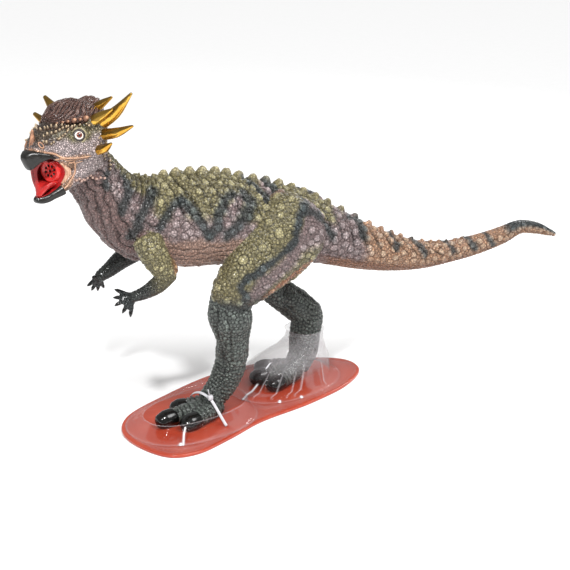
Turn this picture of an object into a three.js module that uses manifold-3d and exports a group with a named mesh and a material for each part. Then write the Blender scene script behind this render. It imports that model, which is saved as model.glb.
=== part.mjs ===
// Toy dinosaur with a domed, horned head, striding on a base plate under a clear moulded cover.
// Millimetres, +Z up. The head points to -X and the animal's left side faces -Y.
// The origin is on the underside of the base plate, under the animal's mid-plane.
import * as THREE from 'three';
import { mergeVertices } from 'three/addons/utils/BufferGeometryUtils.js';
import Module from 'manifold-3d';

const wasm = await Module();
wasm.setup();

// Clearances and thicknesses
const GAP = 0.3;
const BASE_THICK = 3;
const BASE_BEVEL = 1;
const COVER_WALL = 0.9;
const SOLE_Z = BASE_THICK + GAP;
const LINING_WALL = 1.6;

// A station is [x, y, z, half width, height above the line, height below the line].
// The body's line runs from inside the head, down the neck and out to the tail's tip.
const SPINE = [
  [-207, -21, 280, 22, 22, 22],
  [-199, -16, 265, 24, 25, 25],
  [-187, -10, 247, 26, 27, 28],
  [-172, -5, 228, 30, 32, 34],
  [-151, -1, 214, 36, 38, 42],
  [-128, 0, 208, 41, 43, 45],
  [-103, 0, 206, 44, 45, 49],
  [-79, 0, 204, 44, 45, 48],
  [-50, 0, 199, 42, 42, 45],
  [-16, 0, 193, 38, 39, 41],
  [16, 0, 184, 34, 34, 36],
  [49, 0, 171, 29, 29, 30],
  [83, 0, 157, 24, 24, 25],
  [118, 0, 146, 19, 19, 20.5],
  [153, 0, 139, 14.5, 14.5, 15.5],
  [189, 0, 139, 11.5, 11, 12],
  [225, 0, 144, 10, 10, 11],
  [250, 0, 150, 9, 9, 10],
  [272, 0, 157, 7.5, 7, 8],
  [292, 0, 154, 6, 6, 7],
  [308, 0, 147.5, 4, 4, 4.5],
  [316, 0, 144, 2, 2, 2.2],
];
// Lengths of the body between stations, counted along the line, with rings in each.
const LENGTHS = [
  { name: 'neck', from: 0, to: 3.9, rings: 7, sides: 16 },
  { name: 'torso', from: 3.9, to: 10.6, rings: 11, sides: 18 },
  { name: 'tail_base', from: 10.6, to: 12.7, rings: 4, sides: 16 },
  { name: 'tail_middle', from: 12.7, to: 14.7, rings: 5, sides: 14 },
  { name: 'tail_rear', from: 14.7, to: 17, rings: 4, sides: 12 },
  { name: 'tail_tip', from: 17, to: 21, rings: 7, sides: 10 },
];
// Rows of raised scutes: angle from the top of the back, first and last station, count, size.
const SCUTE_ROWS = [
  { angle: 0, from: 2.3, to: 18.1, count: 29, long: 5, wide: 3.6, tall: 5.2 },
  { angle: 24, from: 3.2, to: 12.2, count: 12, long: 4.6, wide: 3.6, tall: 3.2 },
  { angle: 47, from: 4.4, to: 9.1, count: 7, long: 4.6, wide: 3.6, tall: 2.8 },
];
// Scutes stay this far, in stations, from the ends of a length, and shrink where the body is thin.
const SCUTE_CLEAR = 0.22;
const WIDEST = 44;

// The head turns towards the animal's left and leans a little.
const HEAD_AT = [-220, -28, 300];
const HEAD_TURN = 210;
const HEAD_LEAN = 5;
// Head stations are in the head's own axes: x forward, y left, z up.
const SKULL = [
  [-33, 0, -6, 14, 14, 15],
  [-24, 0, -5, 26, 24, 25],
  [-10, 0, -5, 30, 27, 27],
  [6, 0, -3, 26.5, 26, 27],
  [19, 0, 0, 22, 22, 25],
  [30, 0, 0, 17.5, 14, 12],
  [42, 0, -2, 9.5, 5, 7],
];
const JAW = [
  [-14, 0, -20, 25, 14, 15],
  [4, 0, -28, 21, 12, 13],
  [18, 0, -36, 18.5, 9, 8.5],
  [30, 0, -42.5, 13.5, 6, 5.5],
  [39, 0, -44, 7.5, 4.5, 4],
];
const MOUTH = [
  [18, 0, -24, 15.5, 12.5, 13],
  [26, 0, -24, 17, 13.5, 15.5],
  [33, 0, -25, 14, 13, 16],
  [43, 0, -26, 10, 13, 15],
  [62, 0, -26, 10, 13, 14],
];
const DOME = [
  [-31, 0, 19, 16, 10, 8],
  [-22, 0, 20, 22, 13, 10],
  [-8, 0, 20, 24.5, 17, 10],
  [8, 0, 21, 19, 14.5, 8],
  [19, 0, 22, 10, 6, 6],
];
const UPPER_BEAK = [
  [32, 0, -6, 16.6, 4, 6],
  [40, 0, -6.5, 13, 7, 8.5],
  [46.5, 0, -9, 9, 9, 9],
  [51, 0, -13.5, 4.5, 7, 7],
];
const LOWER_BEAK = [
  [22, 0, -42, 17.5, 4.5, 4.5],
  [31, 0, -45, 14.5, 6, 6],
  [40, 0, -45, 9, 5, 5.5],
  [45, 0, -43.5, 4.5, 3.2, 4],
];
const NOSE_HORN = [
  [42, 0, -3, 4.6, 4.6, 4.6],
  [41, 0, 6, 3.6, 3.6, 3.6],
  [39, 0, 15, 1.4, 1.4, 1.4],
];
const TONGUE = [
  [30, 0, -36, 8.5, 2.5, 3],
  [35, 0, -36, 7.5, 2.6, 3],
  [39, 0, -37, 4.5, 2, 2],
];
const EYE_AT = [5, 22, 7.5];
const EYE_RADIUS = 5.2;
const GRILLE_AT = [20.2, 0, -23.5];
const GRILLE_RADIUS = 11;
const GRILLE_THICK = 6;
const GRILLE_HOLES = 7;
const GRILLE_RING = 6;
const GRILLE_HOLE_RADIUS = 1.1;
// The red lining reaches to the lips at the back, and further forward below the tongue.
const LINING_LOW = [0, -30, -60];
const LIPS = [31, 30, 0];
const LOWER_LIP = [41, 30, -36.5];
// Small knobs in rows: over each eye, and along each side of the dome's rim.
const BROW_KNOBS = { count: 4, x: 34, step: 6.4, station: 5.1, stationStep: 0.42, angle: 42, radius: 2.2 };
const DOME_KNOBS = { count: 4, station: 0.5, stationStep: 0.9, out: 0.93, rise: 3, radius: 2.6 };
// Horns on each side: root, bend and tip in the head's axes, with the root's radius,
// and how much lower the right one's tip sits.
const HORNS = {
  rear: { root: [-18, 20, 10], bend: [-24, 40, 22], tip: [-28, 60, 40], radius: 6.8, rightDrop: 8 },
  crown: { root: [-10, 21, 15], bend: [-14, 33, 21], tip: [-18, 44, 27], radius: 5.2, rightDrop: 4 },
  inner: { root: [-22, 10, 22], bend: [-27, 20, 29], tip: [-31, 30, 35], radius: 4.8, rightDrop: 0 },
  side: { root: [-16, 24, 3], bend: [-18, 46, 6], tip: [-19, 67, 13], radius: 5.6, rightDrop: 0 },
  cheek: { root: [-10, 25, -10], bend: [-10, 38, -7], tip: [-9, 48, -2], radius: 4.8, rightDrop: 0 },
};
const HORN_BEND_SHARE = 0.82;
const HORN_BEND_DROP = 0.4;
const HORN_TIP_RADIUS = 1.3;

// Legs: thigh, shin and foot overlap at the knee and hock, and each is cut clear of the one above.
const LEGS = {
  left: {
    thigh: [
      [2, -24, 212, 20, 30, 32],
      [-10, -30, 193, 24, 38, 42],
      [-40, -36, 165, 23, 32, 36],
      [-64, -38, 141, 20, 24, 26],
      [-73, -37, 128, 17, 20, 21],
    ],
    shin: [
      [-73, -36, 132, 15, 17, 18],
      [-71, -35, 109, 18, 20, 22],
      [-68, -31, 84, 15, 15, 17],
      [-66, -27, 62, 14, 15, 16],
    ],
    foot: [
      [-67, -28, 68, 12, 13, 14],
      [-69, -26, 52, 14, 15, 16],
      [-79, -24, 31, 13.5, 14, 14],
      [-90, -25, 17, 14, 12, 12],
    ],
    toes: [
      [[-86, -26, 15], [-110, -31, 14], [-132, -36, 12.5], [-148, -40, 9]],
      [[-84, -29, 14], [-99, -42, 13], [-111, -49, 11.5], [-126, -55, 8]],
      [[-84, -20, 13], [-98, -14, 11], [-112, -12, 9.5], [-126, -12, 7]],
    ],
  },
  right: {
    thigh: [
      [24, 24, 204, 18, 26, 28],
      [20, 30, 185, 22, 32, 34],
      [5, 35, 152, 21, 26, 26],
      [-9, 37, 128, 18, 21, 20],
      [-14, 37, 116, 16, 18, 17],
    ],
    shin: [
      [-10, 36, 114, 15, 14, 14],
      [14, 34, 95, 16, 16, 16],
      [35, 32, 78, 15, 15, 16],
    ],
    foot: [
      [37, 31, 86, 12, 12, 12],
      [37, 31, 72, 14, 15, 15],
      [34, 30, 52, 13.5, 15.5, 15.5],
      [32, 30, 34, 13.5, 15, 15],
      [24, 30, 18, 14, 13, 14],
    ],
    toes: [
      [[20, 30, 15], [4, 29, 14], [-12, 28, 12.5], [-27, 27, 9]],
      [[22, 33, 14], [9, 44, 13], [0, 49, 11.5], [-13, 54, 8]],
      [[22, 27, 14], [8, 15, 13], [-2, 9, 11.5], [-15, 4, 8]],
    ],
  },
};
const TOE_RADIUS = [10.5, 9.5, 9, 4];
const TOE_FLAT = 0.92;
const TOE_NAMES = ['middle', 'outer', 'inner'];
// Half width and height of each claw at its root, its middle and its tip.
const CLAW_ROOT = [8.4, 7.8];
const CLAW_MIDDLE = [7.6, 6.8, 6.4];
const CLAW_TIP = [3, 2.8];

// Arms: upper arm, then forearm with hand and clawed fingers.
const ARMS = {
  left: {
    upper: [
      [-152, -36, 199, 12, 14, 14],
      [-146, -43, 183, 11, 13, 13.5],
      [-135, -46, 167, 9.5, 11, 11.5],
    ],
    fore: [
      [-134, -46, 167, 8.5, 9, 9],
      [-146, -46, 157, 8, 8.5, 8.5],
      [-158, -44, 150, 6, 6.5, 6.5],
      [-170, -41, 146, 7, 4.5, 5],
    ],
    fingers: [[-184, -31, 152], [-187, -37, 146], [-187, -42, 140], [-181, -46, 133], [-174, -48, 129]],
  },
  right: {
    upper: [
      [-138, 31, 202, 12, 14, 14],
      [-146, 39, 180, 11, 12, 13],
      [-147, 43, 163, 9.5, 11, 11],
    ],
    fore: [
      [-145, 43, 163, 8.5, 9, 9],
      [-160, 43, 156, 8, 8.5, 8.5],
      [-174, 41, 147, 6, 6.5, 6.5],
      [-185, 40, 141, 7, 4.5, 5],
    ],
    fingers: [[-193, 32, 144], [-198, 34, 135], [-193, 39, 128], [-186, 44, 125], [-179, 47, 126]],
  },
};
const FINGER_RADIUS = [3, 2.6, 0.8];
const KNUCKLE_SHARE = 0.55;

// The base plate's outline, in its own axes: x along the plate, turned by BASE_TURN.
const BASE_AT = [-42, -21];
const BASE_TURN = 21;
const BASE_OUTLINE = [
  [-142, 1], [-138, 38], [-115, 64], [-54, 81], [16, 90], [82, 78], [136, 48],
  [155, 22], [149, -3], [113, -23], [52, -32], [-17, -32], [-65, -41], [-108, -45], [-131, -34],
];
const BASE_MIDDLE = [6, 24];
const BASE_POINTS = 40;
const FLANGE_INSET = 4;
// The cover's walls, in the plate's axes, from the plate up: a tray round the front foot,
// and a chamber round the rear foot with a narrower neck on top.
const COVER = {
  cover_front: [
    [-58, 17, SOLE_Z, 52, 56, 77],
    [-58, 16, 10, 42, 54, 71],
    [-58, 14, 18, 33, 50, 64],
  ],
  cover_rear: [
    [62, 26, SOLE_Z, 46, 66, 63],
    [62, 26, 8, 43, 61, 60],
    [66, 26, 10, 42, 50, 60],
    [70, 24, 26, 33, 47, 48],
  ],
  cover_neck: [
    [70, 24, 26 + GAP, 33, 47, 48],
    [70, 22, 42, 25, 41, 36],
    [84, 21, 48, 23, 26, 30],
    [88, 21, 64, 21, 21, 21],
  ],
};
// The tie's strap runs over the left foot, with its lock on the near side.
const TIE_PATH = [
  [-84, -59, 4.2], [-86, -52, 14], [-91, -38, 27], [-98, -24, 33],
  [-103, -10, 26], [-105, 0, 14], [-105, 4, 4.2],
];
const TIE_HALF_WIDTH = 1.7;
const TIE_HALF_THICK = 0.5;
const LOCK_LOW = [-94, -37, 28];
const LOCK_HIGH = [-88, -31, 34];

const UP = new THREE.Vector3(0, 0, 1);
const FORWARD = new THREE.Vector3(-1, 0, 0);
const FOOT_OUTWARD = new THREE.Vector3(-0.5, 0, 0.85);
// Everything lies between these corners, so a box of them cuts the whole model.
const FAR_LOW = [-400, -200];
const FAR_HIGH = [400, 200, 400];

// Lofted solids
// A point of the line at station number s, with its section's axes and sizes.
function section(stations, s, ref, level = false) {
  const count = stations.length - 1;
  const line = new THREE.CatmullRomCurve3(stations.map((n) => new THREE.Vector3(n[0], n[1], n[2])));
  const sizes = new THREE.CatmullRomCurve3(stations.map((n) => new THREE.Vector3(n[3], n[4], n[5])));
  const t = Math.min(Math.max(s / count, 0), 1);
  const centre = line.getPoint(t);
  const ahead = line.getPoint(Math.min(t + 0.001, 1)).sub(line.getPoint(Math.max(t - 0.001, 0)));
  const tangent = level ? UP.clone() : ahead.normalize();
  const top = ref.clone().addScaledVector(tangent, -ref.dot(tangent)).normalize();
  const side = new THREE.Vector3().crossVectors(tangent, top);
  return { centre, tangent, top, side, size: sizes.getPoint(t) };
}

// A closed loft along stations. Its ends are flat, or rounded by the given length.
// With level set, every ring lies flat whichever way the line leans.
function loft(stations, options = {}) {
  const { sides = 12, rings = 8, ref = UP, grow = 0, from = 0, to = stations.length - 1 } = options;
  const { startRound = 0, endRound = 0, square = 2, level = false } = options;
  const rows = [];
  const roundSteps = [[1, 0], [0.87, 0.5], [0.5, 0.87]];
  const startRows = startRound > 0 ? roundSteps : [[0, 0]];
  const endRows = endRound > 0 ? roundSteps : [[0, 0]];
  for (const [out, scale] of startRows) rows.push({ s: from, out: -out * (startRound + grow), scale });
  for (let i = 0; i <= rings; i += 1) {
    const flatStart = i === 0 && startRound === 0 ? -grow : 0;
    const flatEnd = i === rings && endRound === 0 ? grow : 0;
    rows.push({ s: from + ((to - from) * i) / rings, out: flatStart + flatEnd, scale: 1 });
  }
  for (const [out, scale] of [...endRows].reverse()) {
    rows.push({ s: to, out: out * (endRound + grow), scale });
  }
  if (startRound === 0) rows[0].out = -grow;
  if (endRound === 0) rows[rows.length - 1].out = grow;
  const geometry = new THREE.SphereGeometry(1, sides, rows.length - 1);
  const position = geometry.attributes.position;
  const point = new THREE.Vector3();
  rows.forEach((row, r) => {
    const at = section(stations, row.s, ref, level);
    for (let i = 0; i <= sides; i += 1) {
      const angle = ((i % sides) / sides) * Math.PI * 2;
      const wave = [Math.cos(angle), Math.sin(angle)].map((c) => Math.sign(c) * Math.abs(c) ** (2 / square));
      const height = (wave[1] > 0 ? at.size.y : at.size.z) + grow;
      point.copy(at.centre).addScaledVector(at.tangent, row.out);
      point.addScaledVector(at.side, wave[0] * (at.size.x + grow) * row.scale);
      point.addScaledVector(at.top, wave[1] * height * row.scale);
      position.setXYZ(r * (sides + 1) + i, point.x, point.y, point.z);
    }
  });
  return geometry;
}

// Solids for joining and cutting
function toSolid(geometry) {
  const bare = new THREE.BufferGeometry();
  bare.setAttribute('position', geometry.attributes.position.clone());
  if (geometry.index) bare.setIndex(geometry.index.clone());
  const merged = mergeVertices(bare, 1e-4);
  const vertProperties = Float32Array.from(merged.attributes.position.array);
  const triVerts = Uint32Array.from(merged.index.array);
  return new wasm.Manifold(new wasm.Mesh({ numProp: 3, vertProperties, triVerts }));
}

function solidLoft(stations, options) {
  return toSolid(loft(stations, options));
}

function join(solids) {
  return solids.reduce((whole, solid) => whole.add(solid));
}

function largest(solid) {
  const bodies = solid.decompose();
  return bodies.reduce((best, body) => (body.volume() > best.volume() ? body : best));
}

// A box from its lowest to its highest corner.
function boxSolid(low, high) {
  const size = high.map((h, i) => h - low[i]);
  const box = new THREE.BoxGeometry(...size);
  box.translate(...high.map((h, i) => (h + low[i]) / 2));
  return toSolid(box);
}

function toGeometry(solid) {
  const mesh = largest(solid).getMesh();
  const geometry = new THREE.BufferGeometry();
  geometry.setAttribute('position', new THREE.BufferAttribute(mesh.vertProperties.slice(), 3));
  geometry.setIndex(new THREE.BufferAttribute(mesh.triVerts.slice(), 1));
  geometry.computeVertexNormals();
  return geometry;
}

const model = new THREE.Group();
const head = new THREE.Group();
head.position.set(...HEAD_AT);
head.rotation.set(THREE.MathUtils.degToRad(HEAD_LEAN), 0, THREE.MathUtils.degToRad(HEAD_TURN), 'ZYX');
head.updateMatrix();
model.add(head);

function place(group, name, solid, material) {
  const mesh = new THREE.Mesh(toGeometry(solid), material);
  mesh.name = name;
  group.add(mesh);
}

function finish(color, roughness, metalness = 0) {
  return new THREE.MeshStandardMaterial({ color, roughness, metalness });
}

const SKIN = finish(0x6f6a3c, 0.6);
const LILAC_SKIN = finish(0x7d6a70, 0.6);
const TAIL_SKIN = finish(0x9a6a48, 0.6);
const DARK_SKIN = finish(0x2f3a35, 0.55);
const DOME_SKIN = finish(0x5a3a34, 0.6);
const GOLD = finish(0xb5892a, 0.3, 0.8);
const CLAW = finish(0x161616, 0.25);
const MOUTH_RED = finish(0xb02326, 0.35);
const HORN_TAN = finish(0xa87f62, 0.5);
const EYE_WHITE = finish(0xe8e4da, 0.2);
const PLATE_RED = finish(0xc45040, 0.3);
const CLEAR = finish(0xe6ecf0, 0.1);
CLEAR.transparent = true;
CLEAR.opacity = 0.3;
const TIE_WHITE = finish(0xe9e9ec, 0.4);

// Body
// A low rounded scute standing on the body at station number s.
function scute(s, angle, { long, wide, tall }, grow) {
  const at = section(SPINE, s, UP);
  const turn = THREE.MathUtils.degToRad(angle);
  const normal = at.side.clone().multiplyScalar(Math.sin(turn)).addScaledVector(at.top, Math.cos(turn));
  const across = new THREE.Vector3().crossVectors(normal, at.tangent);
  const foot = at.centre.clone();
  foot.addScaledVector(at.side, Math.sin(turn) * at.size.x);
  foot.addScaledVector(at.top, Math.cos(turn) * at.size.y);
  const bump = new THREE.SphereGeometry(1, 5, 2);
  bump.rotateX(Math.PI / 2);
  const matrix = new THREE.Matrix4().makeBasis(
    at.tangent.clone().multiplyScalar(long + grow),
    across.multiplyScalar(wide + grow),
    normal.multiplyScalar(tall + grow),
  );
  matrix.setPosition(foot);
  bump.applyMatrix4(matrix);
  return toSolid(bump);
}

// The scutes that stand on one length of the body, smaller towards the tail.
function scutesOn(length, grow) {
  const solids = [];
  for (const row of SCUTE_ROWS) {
    for (let i = 0; i < row.count; i += 1) {
      const share = i / (row.count - 1);
      const s = row.from + (row.to - row.from) * share;
      const inside = s > length.from + SCUTE_CLEAR && s < length.to - SCUTE_CLEAR;
      const scale = (1 + section(SPINE, s, UP).size.x / WIDEST) / 2;
      const size = { long: row.long * scale, wide: row.wide * scale, tall: row.tall * scale };
      const angles = row.angle === 0 ? [0] : [-row.angle, row.angle];
      if (inside) solids.push(...angles.map((angle) => scute(s, angle, size, grow)));
    }
  }
  return solids;
}

// One length of the body. A grown copy keeps its ends, and only serves to cut its neighbours.
function bodyLength(length, grow) {
  const { from, to, rings, sides } = length;
  const endRound = length.name === 'tail_tip' ? 2 : 0;
  const core = solidLoft(SPINE, { from, to, rings, sides, grow, endRound });
  const whole = join([core, ...scutesOn(length, grow)]);
  return grow > 0 ? whole : trimmed(whole, from, to);
}

// Half a gap is taken off both ends, so that neighbouring lengths don't touch.
function trimmed(solid, from, to) {
  const cuts = [];
  for (const s of [from, to]) {
    if (s > 0 && s < SPINE.length - 1) {
      const at = section(SPINE, s, UP);
      const slab = new THREE.BoxGeometry(GAP, 3 * WIDEST, 3 * WIDEST);
      slab.applyMatrix4(new THREE.Matrix4().makeBasis(at.tangent, at.side, at.top).setPosition(at.centre));
      cuts.push(toSolid(slab));
    }
  }
  return cuts.reduce((left, slab) => left.subtract(slab), solid);
}

// Head
const SKULL_LOFT = { sides: 15, rings: 8, startRound: 8, endRound: 2 };
const JAW_LOFT = { sides: 12, rings: 6, startRound: 8, endRound: 3 };
const DOME_LOFT = { sides: 15, rings: 7, startRound: 5, endRound: 3 };
const skullCore = (grow) => solidLoft(SKULL, { ...SKULL_LOFT, grow });
const jawCore = (grow) => solidLoft(JAW, { ...JAW_LOFT, grow });
const headCore = (grow) => skullCore(grow).add(jawCore(grow));
const mouthHollow = (grow) => solidLoft(MOUTH, { sides: 12, rings: 5, grow });

function ball(at, radius, width, height) {
  const geometry = new THREE.SphereGeometry(radius, width, height);
  geometry.translate(...at);
  return toSolid(geometry);
}

const bothSides = (at) => [at, [at[0], -at[1], at[2]]];
const knobPair = (at, radius) => bothSides(at).map((spot) => ball(spot, radius, 5, 4));

function browKnobs(grow) {
  const { count, x, step, station, stationStep, angle, radius } = BROW_KNOBS;
  const lift = THREE.MathUtils.degToRad(angle);
  const knobs = [];
  for (let i = 0; i < count; i += 1) {
    const at = section(SKULL, station - i * stationStep, UP);
    const y = Math.sin(lift) * at.size.x;
    const z = at.centre.z + Math.cos(lift) * at.size.y;
    knobs.push(...knobPair([x - i * step, y, z], radius + grow));
  }
  return knobs;
}

function domeKnobs(grow) {
  const { count, station, stationStep, out, rise, radius } = DOME_KNOBS;
  const knobs = [];
  for (let i = 0; i < count; i += 1) {
    const at = section(DOME, station + i * stationStep, UP);
    knobs.push(...knobPair([at.centre.x, at.size.x * out, at.centre.z + rise], radius + grow));
  }
  return knobs;
}

function headWith(grow) {
  return join([headCore(grow), ...browKnobs(grow)]);
}

function domeWith(grow) {
  return join([solidLoft(DOME, { ...DOME_LOFT, grow }), ...domeKnobs(grow)]);
}

function addHead() {
  const parent = headWith(GAP);
  const beak = (stations, grow) => solidLoft(stations, { sides: 12, rings: 4, endRound: 2, grow });
  let shell = headWith(0).subtract(mouthHollow(0));
  for (const at of bothSides(EYE_AT)) shell = shell.subtract(ball(at, EYE_RADIUS + 2 * GAP, 10, 6));
  place(head, 'head', shell, LILAC_SKIN);
  place(head, 'dome', domeWith(0).subtract(parent), DOME_SKIN);
  place(head, 'upper_beak', beak(UPPER_BEAK, 0).subtract(parent).subtract(mouthHollow(0)), CLAW);
  place(head, 'lower_beak', beak(LOWER_BEAK, 0).subtract(parent).subtract(mouthHollow(0)), CLAW);
  const noseHorn = solidLoft(NOSE_HORN, { sides: 10, rings: 4, endRound: 1, ref: FORWARD });
  place(head, 'nose_horn', noseHorn.subtract(parent).subtract(beak(UPPER_BEAK, GAP)), HORN_TAN);
  addMouth();
  bothSides(EYE_AT).forEach((at, i) => {
    place(head, i === 0 ? 'eye_left' : 'eye_right', ball(at, EYE_RADIUS, 10, 6), EYE_WHITE);
  });
  addHorns(parent.add(domeWith(GAP)));
}

function addMouth() {
  const lips = boxSolid(LINING_LOW, LIPS);
  const lowerLip = boxSolid(LINING_LOW, LOWER_LIP);
  const lined = mouthHollow(-GAP);
  const free = mouthHollow(-2 * GAP - LINING_WALL);
  const cup = lined.subtract(mouthHollow(-GAP - LINING_WALL));
  const rim = cup.intersect(lips).add(cup.intersect(lowerLip).intersect(headCore(-GAP)));
  const back = lined.intersect(boxSolid(LINING_LOW, [GRILLE_AT[0] - GAP, LIPS[1], LIPS[2]]));
  place(head, 'mouth_lining', rim.add(back), MOUTH_RED);
  place(head, 'speaker_grille', grille().intersect(free), MOUTH_RED);
  const tongue = solidLoft(TONGUE, { sides: 12, rings: 4, startRound: 3, endRound: 3 });
  place(head, 'tongue', tongue.intersect(free), MOUTH_RED);
}

// The round grille: a disc with a ring of holes about a middle one.
function grille() {
  const disc = new THREE.CylinderGeometry(GRILLE_RADIUS, GRILLE_RADIUS, GRILLE_THICK, 24);
  disc.rotateZ(Math.PI / 2);
  disc.translate(GRILLE_AT[0] + GRILLE_THICK / 2, GRILLE_AT[1], GRILLE_AT[2]);
  const holes = [[0, 0]];
  for (let i = 0; i < GRILLE_HOLES; i += 1) {
    const angle = (i / GRILLE_HOLES) * Math.PI * 2;
    holes.push([Math.cos(angle) * GRILLE_RING, Math.sin(angle) * GRILLE_RING]);
  }
  let solid = toSolid(disc);
  for (const [y, z] of holes) {
    const hole = new THREE.CylinderGeometry(GRILLE_HOLE_RADIUS, GRILLE_HOLE_RADIUS, GRILLE_THICK * 3, 8);
    hole.rotateZ(Math.PI / 2);
    hole.translate(GRILLE_AT[0], y, GRILLE_AT[2] + z);
    solid = solid.subtract(toSolid(hole));
  }
  return solid;
}

// A round section about a point, for a line that passes through it.
const round = (at, radius) => [...at, radius, radius, radius];

// A horn on the side given as 1 or -1.
function hornSolid({ root, bend, tip, radius, rightDrop }, side, grow) {
  const radii = [radius, radius * HORN_BEND_SHARE, HORN_TIP_RADIUS];
  const drops = [0, HORN_BEND_DROP, 1].map((share) => (side < 0 ? share * rightDrop : 0));
  const stations = [root, bend, tip].map(([x, y, z], i) => round([x, y * side, z - drops[i]], radii[i]));
  return solidLoft(stations, { sides: 7, rings: 4, endRound: HORN_TIP_RADIUS, grow });
}

function addHorns(parent) {
  for (const [sideName, side] of [['left', 1], ['right', -1]]) {
    let taken = parent;
    for (const [hornName, horn] of Object.entries(HORNS)) {
      place(head, `horn_${hornName}_${sideName}`, hornSolid(horn, side, 0).subtract(taken), GOLD);
      taken = taken.add(hornSolid(horn, side, GAP));
    }
  }
}

// Legs
const LEG_LOFT = { sides: 15, ref: FORWARD };
const above = (level) => boxSolid([...FAR_LOW, level], FAR_HIGH);
const between = (a, b, share) => a.map((value, i) => value + (b[i] - value) * share);

// A toe, from the foot to the root of its claw, with its flat side on the sole's level.
function toeSolid(points, grow) {
  const stations = points.slice(0, -1).map((at, i) => {
    return [...at, TOE_RADIUS[i], TOE_RADIUS[i] * TOE_FLAT, at[2] - SOLE_Z];
  });
  return solidLoft(stations, { sides: 9, rings: 4, grow, startRound: 4 });
}

function footSolid(leg, grow) {
  const shank = solidLoft(leg.foot, { sides: 13, rings: 6, ref: FORWARD, grow, endRound: 5 });
  const toes = leg.toes.map((points) => toeSolid(points, grow));
  return join([shank, ...toes]).intersect(above(SOLE_Z - grow));
}

function clawSolid([, , root, tip]) {
  const stations = [
    [...root, ...CLAW_ROOT, root[2] - SOLE_Z],
    [...between(root, tip, 0.5), ...CLAW_MIDDLE],
    [...tip, ...CLAW_TIP, tip[2] - SOLE_Z],
  ];
  return solidLoft(stations, { sides: 8, rings: 3, endRound: 2.5 }).intersect(above(SOLE_Z));
}

function addLeg(side, trunk) {
  const leg = LEGS[side];
  const thigh = (grow) => solidLoft(leg.thigh, { ...LEG_LOFT, rings: 8, grow, startRound: 12, endRound: 8 });
  const shin = (grow) => solidLoft(leg.shin, { ...LEG_LOFT, rings: 6, grow, startRound: 6, endRound: 6 });
  place(model, `thigh_${side}`, thigh(0).subtract(trunk), SKIN);
  place(model, `shin_${side}`, shin(0).subtract(thigh(GAP)).subtract(trunk), DARK_SKIN);
  const foot = footSolid(leg, 0).subtract(shin(GAP)).subtract(thigh(GAP));
  place(model, `foot_${side}`, foot, DARK_SKIN);
  const footGrown = footSolid(leg, GAP);
  leg.toes.forEach((points, i) => {
    place(model, `claw_${TOE_NAMES[i]}_${side}`, clawSolid(points).subtract(footGrown), CLAW);
  });
}

// Arms
function handSolid(arm, grow) {
  const fore = solidLoft(arm.fore, { sides: 10, rings: 5, grow, startRound: 5, endRound: 3 });
  const palm = arm.fore[arm.fore.length - 1].slice(0, 3);
  const fingers = arm.fingers.map((tip) => {
    const points = [palm, between(palm, tip, KNUCKLE_SHARE), tip];
    const stations = points.map((at, i) => round(at, FINGER_RADIUS[i]));
    return solidLoft(stations, { sides: 5, rings: 2, grow, endRound: 0.6 });
  });
  return join([fore, ...fingers]);
}

function addArm(side, trunk) {
  const arm = ARMS[side];
  const upper = (grow) => {
    return solidLoft(arm.upper, { sides: 11, rings: 5, ref: FORWARD, grow, startRound: 6, endRound: 6 });
  };
  place(model, `upper_arm_${side}`, upper(0).subtract(trunk), SKIN);
  place(model, `forearm_${side}`, handSolid(arm, 0).subtract(upper(GAP)).subtract(trunk), DARK_SKIN);
}

// Stand
// The base plate's outline, drawn in towards its middle by the inset.
function outlineShape(inset) {
  const [middleX, middleY] = BASE_MIDDLE;
  const points = BASE_OUTLINE.map(([x, y]) => {
    const away = new THREE.Vector2(x - middleX, y - middleY);
    away.setLength(away.length() - inset);
    return new THREE.Vector3(middleX + away.x, middleY + away.y, 0);
  });
  const curve = new THREE.CatmullRomCurve3(points, true).getPoints(BASE_POINTS).slice(0, -1);
  return new THREE.Shape(curve.map((p) => new THREE.Vector2(p.x, p.y)));
}

const baseMatrix = new THREE.Matrix4().makeRotationZ(THREE.MathUtils.degToRad(BASE_TURN));
baseMatrix.setPosition(BASE_AT[0], BASE_AT[1], 0);

function plate(inset, low, high, bevel) {
  const options = { depth: high - low - 2 * bevel, bevelEnabled: bevel > 0, bevelSegments: 1 };
  options.bevelThickness = bevel;
  options.bevelSize = bevel;
  options.bevelOffset = -bevel;
  const geometry = new THREE.ExtrudeGeometry(outlineShape(inset), options);
  geometry.translate(0, 0, low + bevel);
  geometry.applyMatrix4(baseMatrix);
  return toSolid(geometry);
}

// One chamber of the cover as a solid. One that serves as a cutter reaches out past both ends.
function chamber(stations, grow = 0, past = 0) {
  const tall = stations.map((station) => [...station]);
  tall[0][2] -= past;
  tall[tall.length - 1][2] += past;
  const ref = new THREE.Vector3(1, 0, 0);
  const geometry = loft(tall, { sides: 20, rings: stations.length - 1, ref, grow, square: 2.3, level: true });
  geometry.applyMatrix4(baseMatrix);
  return toSolid(geometry);
}

function addStand() {
  place(model, 'stand_base', plate(0, 0, BASE_THICK, BASE_BEVEL), PLATE_RED);
  let flange = plate(FLANGE_INSET, SOLE_Z, SOLE_Z + COVER_WALL, 0);
  for (const [name, stations] of Object.entries(COVER)) {
    const wall = chamber(stations).subtract(chamber(stations, -COVER_WALL, BASE_THICK));
    place(model, name, wall, CLEAR);
    const foot = [stations[0], stations[0]];
    const onPlate = stations[0][2] === SOLE_Z;
    if (onPlate) flange = flange.subtract(chamber(foot, GAP, BASE_THICK));
  }
  place(model, 'cover_flange', flange, CLEAR);
}

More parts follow.
